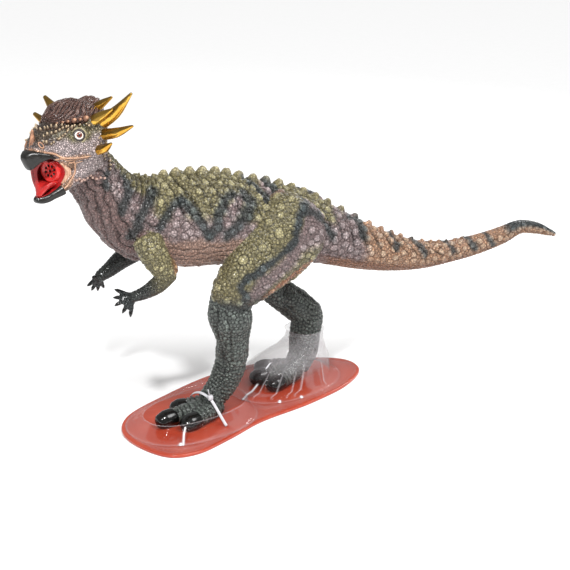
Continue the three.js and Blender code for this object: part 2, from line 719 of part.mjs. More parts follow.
function addTie(foot) {
  const stations = TIE_PATH.map((at) => [...at, TIE_HALF_WIDTH, TIE_HALF_THICK, TIE_HALF_THICK]);
  const strap = solidLoft(stations, { sides: 4, rings: 12, ref: FOOT_OUTWARD, square: 4 });
  const lock = boxSolid(LOCK_LOW, LOCK_HIGH);
  place(model, 'stand_tie', strap.add(lock).subtract(foot), TIE_WHITE);
}

// Assembly
const bodyFinish = { neck: LILAC_SKIN, torso: SKIN, tail_base: LILAC_SKIN };
const headInModel = headCore(GAP).transform(head.matrix.toArray());
for (const length of LENGTHS) {
  const whole = bodyLength(length, 0);
  const solid = length.name === 'neck' ? whole.subtract(headInModel) : whole;
  place(model, length.name, solid, bodyFinish[length.name] ?? TAIL_SKIN);
}
// The lengths of the body that limbs grow from.
const trunk = join(LENGTHS.slice(0, 3).map((length) => bodyLength(length, GAP)));
addHead();
addLeg('left', trunk);
addLeg('right', trunk);
addArm('left', trunk);
addArm('right', trunk);
addStand();
addTie(footSolid(LEGS.left, GAP));

export default model;
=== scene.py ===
# Toy dinosaur on its base plate: the finished looks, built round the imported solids.
import math

import bmesh
import bpy
import numpy as np
from mathutils import Matrix, Vector, kdtree


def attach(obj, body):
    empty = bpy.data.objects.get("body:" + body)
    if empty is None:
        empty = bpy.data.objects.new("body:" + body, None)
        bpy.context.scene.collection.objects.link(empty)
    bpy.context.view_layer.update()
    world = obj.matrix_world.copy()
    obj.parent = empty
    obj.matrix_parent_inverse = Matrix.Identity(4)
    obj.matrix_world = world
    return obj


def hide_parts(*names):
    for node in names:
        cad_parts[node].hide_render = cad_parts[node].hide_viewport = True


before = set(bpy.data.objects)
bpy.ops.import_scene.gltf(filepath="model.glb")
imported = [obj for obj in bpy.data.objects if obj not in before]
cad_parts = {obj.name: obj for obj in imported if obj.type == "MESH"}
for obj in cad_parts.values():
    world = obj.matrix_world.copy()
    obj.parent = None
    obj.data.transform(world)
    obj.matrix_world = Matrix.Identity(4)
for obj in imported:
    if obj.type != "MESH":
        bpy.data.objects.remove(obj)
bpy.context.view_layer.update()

MM = 0.001
RNG = np.random.default_rng(11)
SIDES = (("left", 1), ("right", -1))

# Station tables, in millimetres, as in the part's own source
# A station is [x, y, z, half width, height above the line, height below the line].
SPINE = [
    [-207, -21, 280, 22, 22, 22], [-199, -16, 265, 24, 25, 25], [-187, -10, 247, 26, 27, 28],
    [-172, -5, 228, 30, 32, 34], [-151, -1, 214, 36, 38, 42], [-128, 0, 208, 41, 43, 45],
    [-103, 0, 206, 44, 45, 49], [-79, 0, 204, 44, 45, 48], [-50, 0, 199, 42, 42, 45],
    [-16, 0, 193, 38, 39, 41], [16, 0, 184, 34, 34, 36], [49, 0, 171, 29, 29, 30],
    [83, 0, 157, 24, 24, 25], [118, 0, 146, 19, 19, 20.5], [153, 0, 139, 14.5, 14.5, 15.5],
    [189, 0, 139, 11.5, 11, 12], [225, 0, 144, 10, 10, 11], [250, 0, 150, 9, 9, 10],
    [272, 0, 157, 7.5, 7, 8], [292, 0, 154, 6, 6, 7], [308, 0, 147.5, 4, 4, 4.5],
    [316, 0, 144, 2, 2, 2.2],
]
HEAD_AT = [-220, -28, 300]
HEAD_TURN = 210
HEAD_LEAN = 5
SKULL = [
    [-33, 0, -6, 14, 14, 15], [-24, 0, -5, 26, 24, 25], [-10, 0, -5, 30, 27, 27],
    [6, 0, -3, 26.5, 26, 27], [19, 0, 0, 22, 22, 25], [30, 0, 0, 17.5, 14, 12],
    [42, 0, -2, 9.5, 5, 7],
]
JAW = [
    [-14, 0, -20, 25, 14, 15], [4, 0, -28, 21, 12, 13], [18, 0, -36, 18.2, 9, 8.5],
    [30, 0, -43.8, 12.2, 3.6, 3.8], [38, 0, -46, 6, 2.6, 2.6],
]
MOUTH = [
    [18, 0, -24, 15.5, 12.5, 13.5], [24, 0, -24, 16.4, 13.2, 17], [30, 0, -25, 15, 13.4, 20],
    [36, 0, -25.5, 12.8, 13.4, 21], [41, 0, -26, 9.5, 13.4, 20.5], [46, 0, -26, 6.5, 13.2, 19.5],
    [62, 0, -26, 6.5, 13, 19],
]
DOME = [
    [-31, 0, 19, 16, 10, 8], [-22, 0, 20, 22, 13, 10], [-8, 0, 20, 24.5, 17, 10],
    [8, 0, 21, 19, 14.5, 8], [19, 0, 22, 10, 6, 6],
]
UPPER_BEAK = [
    [29.5, 0, -10, 17.8, 1.0, 1.2], [36, 0, -7.8, 16.6, 4.0, 3.6], [42, 0, -7.6, 12.6, 6.4, 6.4],
    [46, 0, -8.4, 9.0, 7.2, 8.8], [49, 0, -9.2, 6.6, 6.2, 9.8], [51, 0, -10.0, 4.6, 4.4, 9.4],
]
LOWER_BEAK = [
    [23.5, 0, -41, 17.2, 6.6, 5.2], [30, 0, -43.5, 13.4, 4.8, 4.8], [35, 0, -46, 10.0, 4.2, 4.2],
    [40, 0, -46.6, 6.8, 3.6, 3.8], [43, 0, -46, 4.4, 3.0, 3.0], [44.4, 0, -45.2, 2.4, 1.8, 1.8],
]
BEAK_HOLLOW = MOUTH[:5] + [[43.4, 0, -26, 7.2, 13.2, 19]]
NOSE_HORN = [[41, 0, -3, 3.8, 3.8, 3.8], [40, 0, 5, 2.6, 2.6, 2.6], [38.6, 0, 15, 1.2, 1.2, 1.2]]
TONGUE = [
    [24, 0, -36.4, 9.0, 2.6, 2.6], [29, 0, -35.8, 9.6, 2.8, 2.8], [34, 0, -36.8, 9.0, 2.8, 2.8],
    [37.5, 0, -39.4, 7.0, 2.4, 2.4], [39.4, 0, -41.6, 4.4, 1.8, 1.8],
]
EYE_AT = [5, 22, 7.5]
EYE_RADIUS = 5.2
EYE_FACING = [0.45, 0.82, 0.3]
GRILLE_AT = [20.2, 0, -23.5]
GRILLE_SWING = 12
GRILLE_RING = 4.9
HOLE_RADIUS = 1.25
HORNS = {
    "rear": ([-18, 20, 10], [-24, 40, 22], [-28, 60, 40], 6.8),
    "crown": ([-10, 21, 15], [-14, 33, 21], [-18, 44, 27], 5.2),
    "inner": ([-22, 10, 22], [-27, 20, 29], [-31, 30, 35], 4.8),
    "side": ([-16, 24, 3], [-18, 46, 6], [-19, 67, 13], 5.6),
    "cheek": ([-10, 25, -10], [-10, 38, -7], [-9, 48, -2], 4.8),
}
# How much lower these horns' tips sit than those on the left
HORN_DROP = {"rear_right": 8, "crown_right": 4, "side_right": -4}
# A shorter horn ends at this share of the way from its bend to its tip.
HORN_REACH = {"inner_right": 0.4}
# Skin wraps each horn's root, out to this share of its length.
COLLAR_SHARE = {"rear": 0.2, "crown": 0.2, "inner": 0.26, "side": 0.2, "cheek": 0.2}
LEGS = {
    "left": {
        "thigh": [
            [2, -24, 212, 20, 30, 32], [-10, -30, 193, 24, 38, 42], [-40, -36, 165, 23, 32, 36],
            [-64, -38, 141, 20, 24, 26], [-73, -37, 128, 17, 20, 21],
        ],
        "shin": [
            [-73, -36, 132, 15, 17, 18], [-71, -35, 109, 18, 20, 22], [-68, -31, 84, 15, 15, 17],
            [-66, -27, 62, 14, 15, 16],
        ],
        "foot": [
            [-67, -28, 68, 12, 13, 14], [-69, -26, 52, 14, 15, 16], [-79, -24, 31, 13.5, 14, 14],
            [-90, -25, 17, 14, 12, 12],
        ],
        "toes": [
            [[-86, -26, 15], [-110, -31, 14], [-132, -36, 12.5], [-148, -40, 9]],
            [[-84, -29, 14], [-99, -42, 13], [-111, -49, 11.5], [-126, -55, 8]],
            [[-84, -20, 13], [-98, -14, 11], [-112, -12, 9.5], [-126, -12, 7]],
        ],
    },
    "right": {
        "thigh": [
            [24, 24, 204, 18, 26, 28], [20, 30, 185, 22, 32, 34], [5, 35, 152, 21, 26, 26],
            [-9, 37, 128, 18, 21, 20], [-14, 37, 116, 16, 18, 17],
        ],
        "shin": [[-10, 36, 114, 15, 14, 14], [14, 34, 95, 16, 16, 16], [35, 32, 78, 15, 15, 16]],
        "foot": [
            [37, 31, 86, 12, 12, 12], [37, 31, 72, 14, 15, 15], [34, 30, 52, 13.5, 15.5, 15.5],
            [32, 30, 34, 13.5, 15, 15], [24, 30, 18, 14, 13, 14],
        ],
        "toes": [
            [[20, 30, 15], [4, 29, 14], [-12, 28, 12.5], [-27, 27, 9]],
            [[22, 33, 14], [9, 44, 13], [0, 49, 11.5], [-13, 54, 8]],
            [[22, 27, 14], [8, 15, 13], [-2, 9, 11.5], [-15, 4, 8]],
        ],
    },
}
TOE_RADIUS = [10.5, 9.5, 9]
TOE_NAMES = ["middle", "outer", "inner"]
SOLE_Z = 3.3
ARMS = {
    "left": {
        "upper": [[-152, -36, 199, 12, 14, 14], [-146, -43, 183, 11, 13, 13.5], [-135, -46, 167, 9.5, 11, 11.5]],
        "fore": [
            [-134, -46, 167, 8.5, 9, 9], [-146, -46, 157, 8, 8.5, 8.5], [-158, -44, 150, 6, 6.5, 6.5],
            [-170, -41, 146, 7, 4.5, 5],
        ],
        "fingers": [[-184, -31, 152], [-187, -37, 146], [-187, -42, 140], [-181, -46, 133], [-174, -48, 129]],
    },
    "right": {
        "upper": [[-138, 31, 202, 12, 14, 14], [-146, 39, 180, 11, 12, 13], [-147, 43, 163, 9.5, 11, 11]],
        "fore": [
            [-145, 43, 163, 9.5, 10.5, 10.5], [-160, 43, 156, 9.5, 10, 10], [-174, 41, 147, 7.4, 7.8, 7.8],
            [-185, 40, 141, 7.2, 5.4, 6],
        ],
        "fingers": [[-193, 32, 144], [-198, 34, 135], [-193, 39, 128], [-186, 44, 125], [-179, 47, 126]],
    },
}
BASE_AT = [-42, -21]
BASE_TURN = 21
BASE_OUTLINE = [
    [-142, 1], [-138, 38], [-115, 64], [-54, 81], [16, 90], [82, 78], [136, 48],
    [155, 22], [149, -3], [113, -23], [52, -32], [-17, -32], [-65, -41], [-108, -45], [-131, -34],
]
BASE_MIDDLE = [6, 24]
BASE_THICK = 3
TRAY = [[-58, 17, 3.8, 52, 56, 77], [-58, 16, 10, 42, 54, 71], [-58, 14, 18, 33, 50, 64]]
CHAMBER = [
    [62, 26, 3.8, 46, 66, 63], [62, 26, 8, 43, 61, 60], [66, 26, 10, 42, 50, 58], [70, 24, 28, 34, 47, 47],
    [72, 22, 35, 27, 42, 40], [80, 21, 41, 24, 31, 25], [86, 21, 49, 21, 22, 19], [88, 21, 60, 20, 20, 18],
]
# Upright folds of the chamber: turn round its middle in degrees, how it leans over its height, and width
FOLDS = [(206, 8, 1.0), (230, 10, 1.2), (250, 14, 1.0), (262, 20, 1.2), (287, -8, 1.0)]
# Walls of the cover: name, stations, rings, how deeply it is crumpled, and its folds
COVER_WALLS = [("tray", TRAY, 26, 0.7, []), ("chamber", CHAMBER, 64, 1.1, FOLDS)]
COVER_SIDES = 400
COVER_SQUARE = 2.3
COVER_THICK = 0.45
FOOT_FLARE = 2.4
RIM_FLARE = 1.2
SHEET_Z = 3.8
# Painted glare highlights on the sheet: wall, turn, lean, width, and the heights where it starts and ends
GLARE_STREAKS = [
    ("tray", 231, 3, 0.9, 3.8, 15), ("tray", 229, 0, 1.6, 3.8, 4.6), ("chamber", 190, 5, 1.6, 4.2, 17),
    ("chamber", 194, 0, 1.2, 31, 35), ("chamber", 260, 0, 1.2, 3.8, 4.8), ("chamber", 236, 0, 1.4, 3.8, 4.8),
]
TIE_TAIL = [[-94.5, -38.7, 29, 1.4, 0.5, 0.5], [-95.8, -39.6, 33, 1.4, 0.5, 0.5], [-96.6, -40.2, 37, 1.3, 0.45, 0.45]]
TIE_PATH = [
    [-84, -60, 4.2], [-86.5, -54.5, 9.5], [-90, -46, 18], [-94, -38.5, 25.8], [-98, -31.5, 28.2],
    [-101, -24, 27.8], [-104, -12, 22], [-105, -3, 14], [-105, 1, 4.2],
]
# Tops of the knobs along the back, along x, and how far each row leans tailward as it goes down.
KNOBS_X = [
    -150.6, -141.9, -133.4, -124.4, -112.1, -98.3, -85.6, -72.7, -61.6, -48.8, -33.9, -20.7, -6.8, 6.6, 19,
    32.3, 45.6, 60.6, 76.4, 92.4, 106.5, 118.3, 129.3, 142.1, 154.4, 165.3, 174.8, 183.9, 193.8, 202.7,
]
ROW_LEAN = 0.5
# Wrinkles across each limb: their spacing, depth and how much they stray
WRINKLES = [
    ("foot", 5.2, 1.7, 1.8), ("shin", 8.0, 0.8, 2.6), ("fore", 3.4, 0.5, 1.8), ("upper", 6.0, 0.6, 1.8),
    ("thigh", 8.0, 0.8, 1.8), *((f"toe_{toe}", 5.0, 2.6, 0.6) for toe in TOE_NAMES),
]

# The photo's view: the camera's direction in degrees, its distance, what it looks at, and its focal length in pixels
VIEW_AZIMUTH = -20
VIEW_ELEVATION = 20
VIEW_DISTANCE = 1.3
VIEW_TARGET = Vector((0, 0, 0.123))
FOCAL_PIXELS = 1261
PHOTO_PIXELS = 570
SENSOR_WIDTH = 36
FLOOR_RADIUS = 30
FLOOR_SIDES = 64

UP = np.array([0, 0, 1.0])
FORWARD = np.array([-1.0, 0, 0])


# Camera, lamps and floor
def full_turn(count):
    """Angles of a full turn, in radians."""
    return np.arange(count) / count * 2 * math.pi


def add_object(name, data):
    piece = bpy.data.objects.new(name, data)
    bpy.context.scene.collection.objects.link(piece)
    return piece


def make_camera():
    data = bpy.data.cameras.new("camera")
    data.sensor_width = SENSOR_WIDTH
    data.lens = SENSOR_WIDTH * FOCAL_PIXELS / PHOTO_PIXELS
    data.clip_end = 100
    camera = add_object("camera", data)
    azimuth, elevation = math.radians(VIEW_AZIMUTH), math.radians(VIEW_ELEVATION)
    level = math.cos(elevation)
    back = Vector((math.sin(azimuth) * level, -math.cos(azimuth) * level, math.sin(elevation)))
    camera.location = VIEW_TARGET + back * VIEW_DISTANCE
    camera.rotation_euler = back.to_track_quat("Z", "Y").to_euler()
    bpy.context.scene.camera = camera


def make_lamp(name, kind, energy, place, aim, **options):
    data = bpy.data.lights.new(name, kind)
    data.energy = energy
    for key, value in options.items():
        setattr(data, key, value)
    lamp = add_object(name, data)
    lamp.location = place
    lamp.rotation_euler = (Vector(place) - Vector(aim)).to_track_quat("Z", "Y").to_euler()


def make_stage():
    mesh = bpy.data.meshes.new("floor")
    ring = [(FLOOR_RADIUS * math.cos(turn), FLOOR_RADIUS * math.sin(turn), 0) for turn in full_turn(FLOOR_SIDES)]
    mesh.from_pydata(ring, [], [tuple(range(FLOOR_SIDES))])
    floor = add_object("floor", mesh)
    floor.location.z = -0.0003
    paper = Nodes("floor_paper")
    paper.vary("Base Color", 40.0, 0.97 * 0.985, 0.97)
    paper.set(Roughness=0.9)
    mesh.materials.append(paper.material)
    world = bpy.data.worlds.new("studio")
    world.use_nodes = True
    sky = world.node_tree.nodes["Background"]
    sky.inputs["Color"].default_value = (1, 1, 1, 1)
    sky.inputs["Strength"].default_value = 0.42
    bpy.context.scene.world = world
    bpy.context.scene.view_settings.view_transform = "Standard"
    make_lamp("sun", "SUN", 2.15, (0.42, -0.55, 1.0), (0, 0, 0), angle=math.radians(32))
    make_lamp("strip", "AREA", 17, (-0.6, -0.9, 1.2), (-0.03, 0, 0.12), shape="DISK", size=0.12)
    make_lamp("rim", "AREA", 5, (0.9, 0.7, 0.9), (0, 0, 0.15), shape="DISK", size=0.3)


# Materials
def linear(*colour):
    """sRGB, 0 to 255, as the linear values that Blender works in."""
    c = np.array(colour, float) / 255
    return np.where(c <= 0.04045, c / 12.92, ((c + 0.055) / 1.055) ** 2.4)


class Nodes:
    """A short way to write a node tree."""

    def __init__(self, name):
        self.material = bpy.data.materials.new(name)
        self.material.use_nodes = True
        self.tree = self.material.node_tree
        self.shader = self.tree.nodes["Principled BSDF"]

    def add(self, kind, links=None, **values):
        node = self.tree.nodes.new(kind)
        for key, value in values.items():
            if hasattr(node, key):
                setattr(node, key, value)
            else:
                node.inputs[key].default_value = value
        for key, socket in (links or {}).items():
            self.tree.links.new(socket, node.inputs[key])
        return node

    def feed(self, socket, value):
        """Links a socket to another one, or gives it a number or a colour."""
        if isinstance(value, bpy.types.NodeSocket):
            self.tree.links.new(value, socket)
        else:
            socket.default_value = value if isinstance(value, float) else (*value, 1)

    def set(self, **values):
        for key, value in values.items():
            self.shader.inputs[key.replace("_", " ")].default_value = value

    def link(self, socket, name):
        self.tree.links.new(socket, self.shader.inputs[name])

    def place(self):
        return self.add("ShaderNodeTexCoord").outputs["Object"]

    def attribute(self, name, output="Fac"):
        return self.add("ShaderNodeAttribute", attribute_name=name).outputs[output]

    def noise(self, scale, detail=4.0):
        node = self.add("ShaderNodeTexNoise", {"Vector": self.place()}, Scale=scale, Detail=detail, Roughness=0.6)
        return node.outputs["Fac"]

    def cells(self, scale, vector=None):
        """Distance to the nearest edge between cells."""
        links = {"Vector": vector or self.place()}
        return self.add("ShaderNodeTexVoronoi", links, feature="DISTANCE_TO_EDGE", Scale=scale).outputs["Distance"]

    def ramp(self, socket, *stops):
        """Colours, or greys from 0 to 1, at their places along a ramp."""
        node = self.add("ShaderNodeValToRGB", {"Fac": socket})
        ramp = node.color_ramp
        while len(ramp.elements) < len(stops):
            ramp.elements.new(0.5)
        for element, (at, colour) in zip(ramp.elements, stops):
            element.position = at
            element.color = (colour, colour, colour, 1) if np.isscalar(colour) else (*colour, 1)
        return node.outputs["Color"]

    def vary(self, name, scale, low, high, detail=4.0):
        """Varies one of the shader's inputs between two values or colours."""
        self.link(self.ramp(self.noise(scale, detail), (0.3, low), (0.7, high)), name)

    def amount(self, socket, *stops):
        """A ramp of greys as a number."""
        return self.add("ShaderNodeSeparateColor", {"Color": self.ramp(socket, *stops)}).outputs["Red"]

    def mix(self, fac, a, b, blend="MIX"):
        node = self.add("ShaderNodeMix", data_type="RGBA", blend_type=blend)
        for index, value in ((0, fac), (6, a), (7, b)):
            self.feed(node.inputs[index], value)
        return node.outputs[2]

    def multiply_add(self, *values):
        """The first value times the second, plus the third."""
        node = self.add("ShaderNodeMath", operation="MULTIPLY_ADD")
        for socket, value in zip(node.inputs, values):
            self.feed(socket, value)
        return node.outputs[0]

    def bump(self, height, strength, distance, onto=None):
        links = {"Height": height}
        if onto is not None:
            links["Normal"] = onto
        return self.add("ShaderNodeBump", links, Strength=strength, Distance=distance).outputs["Normal"]

    def dent(self, height, strength, distance, onto=None):
        self.link(self.bump(height, strength, distance, onto), "Normal")


def painted_material(name, roughness=(0.26, 0.44), coarse=360.0, fine=520.0, depth=0.75):
    """Paint from the mesh's own values, over fine scales with painted shade in their gaps, lighter tops that are partly
    dry-brushed paint and partly painted highlight, and painted glints.
    """
    nodes = Nodes(name)
    paint, grain = nodes.attribute("paint", "Color"), nodes.attribute("grain")
    warp = nodes.add("ShaderNodeTexNoise", {"Vector": nodes.place()}, Scale=180.0, Detail=2.0).outputs["Color"]
    shift = nodes.add("ShaderNodeVectorMath", {0: warp}, operation="SCALE", Scale=0.0022).outputs[0]
    bent = nodes.add("ShaderNodeVectorMath", {0: nodes.place(), 1: shift}, operation="ADD").outputs[0]
    large, small = nodes.cells(coarse, bent), nodes.cells(fine, bent)
    edge = nodes.add("ShaderNodeMix", {0: grain, 2: large, 3: small}, data_type="FLOAT").outputs[0]
    # Cell gaps are darkened as painted shade; cell tops are lightened, partly as dry-brushed paint and partly as
    # painted highlight.
    soft = nodes.ramp(edge, (0.0, 0.30), (0.09, 0.74), (0.24, 1.0), (0.42, 1.34))
    hard = nodes.ramp(edge, (0.0, 0.14), (0.12, 0.5), (0.26, 1.05), (0.42, 1.6))
    colour = nodes.mix(depth, paint, nodes.mix(1.0, paint, nodes.mix(grain, soft, hard), "MULTIPLY"))
    mottle = nodes.ramp(nodes.noise(240.0, 6.0), (0.25, 0.62), (0.75, 1.02))
    colour = nodes.mix(1.0, colour, mottle, "MULTIPLY")
    # Small bright specks over the paint: painted glints.
    painted_glint = nodes.amount(nodes.noise(900.0, 3.0), (0.56, 0.0), (0.68, 0.35))
    nodes.link(nodes.mix(painted_glint, colour, nodes.mix(1.0, colour, (1.7, 1.7, 1.7), "MULTIPLY")), "Base Color")
    nodes.vary("Roughness", 120.0, *roughness, detail=3.0)
    swell = nodes.ramp(edge, (0.0, 0.0), (0.12, 0.6), (0.35, 1.0))
    nodes.dent(nodes.noise(1300.0, 3.0), 0.35, 0.0005, nodes.bump(swell, 1.0, 0.0010))
    nodes.set(Coat_Weight=0.25, Coat_Roughness=0.16)
    return nodes.material


def moulded_material(name, colour, roughness, vary=0.14, speckle=300.0, bump=0.06, coat=0.0):
    """Moulded or brushed colour with faint streaks, uneven gloss and a slightly wavy skin."""
    nodes = Nodes(name)
    colour = np.array(colour)
    nodes.vary("Base Color", speckle, colour * (1 - vary), np.minimum(colour * (1 + vary), 1))
    nodes.vary("Roughness", 90.0, roughness * 0.8, roughness * 1.25)
    nodes.dent(nodes.noise(420.0, 2.0), bump, 0.0006)
    if coat:
        nodes.set(Coat_Weight=coat, Coat_Roughness=0.08)
    return nodes.material


def scale_material(name, low, high, tipped=False):
    """Two colours in fine patches or, on pointed scales, from root to tip."""
    nodes = Nodes(name)
    if tipped:
        mask = nodes.multiply_add(nodes.attribute("tip"), nodes.noise(300.0, 3.0), 0.05)
        start, end, rough = 0.05, 0.5, 0.3
    else:
        mask, start, end, rough = nodes.noise(330.0), 0.3, 0.62, 0.35
    nodes.link(nodes.ramp(mask, (start, linear(*low)), (end, linear(*high))), "Base Color")
    nodes.vary("Roughness", 200.0, rough, rough + 0.2)
    nodes.dent(nodes.cells(1400.0), 0.2, 0.0004)
    return nodes.material


def horn_material():
    """Gold paint, with painted shade making it browner where the horn faces up."""
    nodes = Nodes("gold_paint")
    normal = nodes.add("ShaderNodeNewGeometry").outputs["Normal"]
    up = nodes.add("ShaderNodeSeparateXYZ", {"Vector": normal}).outputs["Z"]
    streak = nodes.noise(70.0, 3.0)
    gold = nodes.ramp(streak, (0.25, linear(196, 136, 36)), (0.7, linear(240, 194, 88)))
    shade = nodes.ramp(streak, (0.25, linear(70, 54, 26)), (0.7, linear(120, 92, 40)))
    # Painted shade: the gold turns brown where the horn faces up.
    uneven = nodes.multiply_add(nodes.multiply_add(up, 0.5, 0.5), 1.0, streak)
    nodes.link(nodes.mix(nodes.amount(uneven, (0.95, 0.0), (1.45, 0.85)), gold, shade), "Base Color")
    nodes.set(Metallic=0.85)
    nodes.vary("Roughness", 260.0, 0.16, 0.3)
    nodes.dent(nodes.noise(420.0, 3.0), 0.1, 0.0004)
    return nodes.material


def plate_material():
    """Glossy red moulding, a little cloudy, with long pale scuffs."""
    nodes = Nodes("red_plate")
    cloudy = nodes.ramp(nodes.noise(18.0, 5.0), (0.3, linear(158, 50, 29)), (0.7, linear(177, 67, 40)))
    drawn = nodes.add("ShaderNodeMapping", {"Vector": nodes.place()}, Scale=(30.0, 900.0, 60.0)).outputs["Vector"]
    scuff = nodes.add("ShaderNodeTexNoise", {"Vector": drawn}, Scale=1.0, Detail=6.0).outputs["Fac"]
    marks = nodes.amount(scuff, (0.62, 0.0), (0.72, 0.25))
    nodes.link(nodes.mix(marks, cloudy, linear(226, 130, 108)), "Base Color")
    nodes.vary("Roughness", 35.0, 0.14, 0.28)
    nodes.dent(nodes.noise(30.0, 3.0), 0.12, 0.002)
    nodes.set(Coat_Weight=0.3, Coat_Roughness=0.05)
    return nodes.material


def cover_material():
    """Clear sheet: nearly unseen face on, denser edge on, at its rims and folds, and white at its painted glare
    streaks.
    """
    nodes = Nodes("clear_sheet")
    tint = nodes.ramp(nodes.noise(30.0), (0.3, linear(166, 156, 160)), (0.7, linear(196, 187, 188)))
    slant = nodes.add("ShaderNodeLayerWeight", Blend=0.33).outputs["Fresnel"]
    dense, glare = nodes.attribute("dense"), nodes.attribute("glare")
    # Whiter where the sheet is dense, and white at the painted glare streaks.
    nodes.link(nodes.mix(nodes.multiply_add(dense, 0.7, glare), tint, linear(246, 246, 250)), "Base Color")
    nodes.vary("Roughness", 60.0, 0.02, 0.08)
    nodes.dent(nodes.noise(60.0, 3.0), 0.3, 0.002)
    alpha = 0.004
    for layer, weight in ((slant, 0.125), (dense, 0.15), (glare, 0.85)):
        alpha = nodes.multiply_add(layer, weight, alpha)
    nodes.link(alpha, "Alpha")
    nodes.set(IOR=1.5)
    return nodes.material


# Curves and tubes
def unit(v):
    return v / np.maximum(np.linalg.norm(v, axis=-1, keepdims=True), 1e-9)

def bell(x, width):
    return np.exp(-((x / width) ** 2))


def arc_lengths(points):
    """How far along a line each of its points is."""
    return np.concatenate([[0], np.cumsum(np.linalg.norm(np.diff(points, axis=0), axis=1))])


def ring_of(turn, square):
    """Cosines and sines of a ring: round at 2, and squarer above."""
    c, n = np.cos(turn), np.sin(turn)
    power = 2 / square
    return np.sign(c) * np.abs(c) ** power, np.sign(n) * np.abs(n) ** power


def spline(points, t):
    """Centripetal Catmull-Rom curve through the points, at station numbers t."""
    points = np.asarray(points, float)
    last = len(points) - 1
    t = np.clip(np.asarray(t, float), 0, last)
    i = np.minimum(t.astype(int), last - 1)
    w = (t - i)[:, None]
    padded = np.vstack([2 * points[0] - points[1], points, 2 * points[-1] - points[-2]])
    p0, p1, p2, p3 = (padded[i + k] for k in range(4))
    d0, d1, d2 = (np.sqrt(np.linalg.norm(b - a, axis=1))[:, None] for a, b in ((p0, p1), (p1, p2), (p2, p3)))
    d1 = np.where(d1 < 1e-4, 1, d1)
    d0 = np.where(d0 < 1e-4, d1, d0)
    d2 = np.where(d2 < 1e-4, d1, d2)
    m1 = ((p1 - p0) / d0 - (p2 - p0) / (d0 + d1) + (p2 - p1) / d1) * d1
    m2 = ((p2 - p1) / d1 - (p3 - p1) / (d1 + d2) + (p3 - p2) / d2) * d1
    return p1 + m1 * w + (-3 * p1 + 3 * p2 - 2 * m1 - m2) * w**2 + (2 * p1 - 2 * p2 + m1 + m2) * w**3


class Tube:
    """A loft along stations. Angles are counted from its top, towards its side axis."""

    def __init__(self, stations, ref=UP, turn=None, shift=None):
        self.stations = np.array(stations, float)
        self.last = len(stations) - 1
        self.ref = ref
        self.turn = turn
        self.shift = shift

    def at(self, s):
        s = np.atleast_1d(np.asarray(s, float))
        line = self.stations[:, :3]
        centre = spline(line, s)
        size = spline(self.stations[:, 3:], s)
        tangent = unit(spline(line, np.minimum(s + 0.01, self.last)) - spline(line, np.maximum(s - 0.01, 0)))
        top = unit(self.ref - tangent * (tangent @ self.ref)[:, None])
        side = np.cross(tangent, top)
        if self.turn is not None:
            centre = centre @ self.turn.T + self.shift
            tangent, top, side = tangent @ self.turn.T, top @ self.turn.T, side @ self.turn.T
        return centre, tangent, top, side, size

    def surface(self, s, angle, out=0.0):
        """Points of the surface at station numbers and angles in radians."""
        centre, _, top, side, size = self.at(s)
        angle = np.asarray(angle, float)
        tall = np.where(np.cos(angle) > 0, size[:, 1], size[:, 2])
        across = (np.sin(angle) * (size[:, 0] + out))[:, None] * side
        return centre + across + (np.cos(angle) * (tall + out))[:, None] * top

    def grid(self, sides, rings, start=0.0, end=0.0, out=0.0, square=2.0, steps=5):
        """Rings of points, the first and last closed to a point, with ends rounded by these lengths."""
        arc = np.linspace(0, math.pi / 2, steps + 1)[1:]

        def cap(station, length, sign, angles):
            if not length:
                return [(station, sign * math.cos(arc[-1]) * 0.01, 1.0)]
            return [(station, sign * math.cos(a) * max(length, 0.01), math.sin(a)) for a in angles]

        rows = cap(0, start, -1, arc) + [(self.last * i / rings, 0.0, 1.0) for i in range(1, rings)]
        rows = np.array(rows + cap(self.last, end, 1, arc[::-1]))
        centre, tangent, top, side, size = self.at(rows[:, 0])
        c, n = ring_of(full_turn(sides), square)
        scale = rows[:, 2][:, None, None]
        middle = centre + tangent * rows[:, 1:2]
        tall = np.where(c[None, :] > 0, size[:, 1:2], size[:, 2:3]) + out
        wide = size[:, 0:1] + out
        points = middle[:, None] + scale * (
            (n[None] * wide)[..., None] * side[:, None] + (c[None] * tall)[..., None] * top[:, None]
        )
        poles = (centre[0] - tangent[0] * start, centre[-1] + tangent[-1] * end)
        return points, poles

    def locate(self, points):
        """Station number, angle and height above the surface of points."""
        count = max(24, self.last * 12)
        knots = np.linspace(0, self.last, count)
        centre, tangent, _, _, _ = self.at(knots)
        arc = arc_lengths(centre)
        near = np.empty(len(points), int)
        for lo in range(0, len(points), 40000):
            part = points[lo:lo + 40000]
            near[lo:lo + 40000] = np.argmin((centre**2).sum(1)[None] - 2 * part @ centre.T, axis=1)
        along = ((points - centre[near]) * tangent[near]).sum(1)
        s = np.interp(arc[near] + along, arc, knots)
        centre, tangent, top, side, size = self.at(s)
        away = points - centre
        past = np.abs((away * tangent).sum(1))
        x, z = (away * side).sum(1), (away * top).sum(1)
        tall = np.where(z > 0, size[:, 1], size[:, 2])
        reach = np.hypot(x / size[:, 0], z / tall)
        length = np.hypot(x, z)
        height = length - length / np.maximum(reach, 1e-6)
        height = np.where(reach < 1e-6, -tall, height)
        return s, np.arctan2(x / size[:, 0], z / tall), np.hypot(np.maximum(height, 0), past) + np.minimum(height, 0)


def rotation(x_deg, z_deg):
    return np.array((Matrix.Rotation(math.radians(z_deg), 3, "Z") @ Matrix.Rotation(math.radians(x_deg), 3, "X")))


HEAD_AXES = rotation(HEAD_LEAN, HEAD_TURN)
HEAD_PLACE = np.array(HEAD_AT, float)
BASE_AXES = rotation(0, BASE_TURN)
BASE_PLACE = np.array([*BASE_AT, 0.0])


def to_world(points):
    return np.asarray(points, float) @ HEAD_AXES.T + HEAD_PLACE


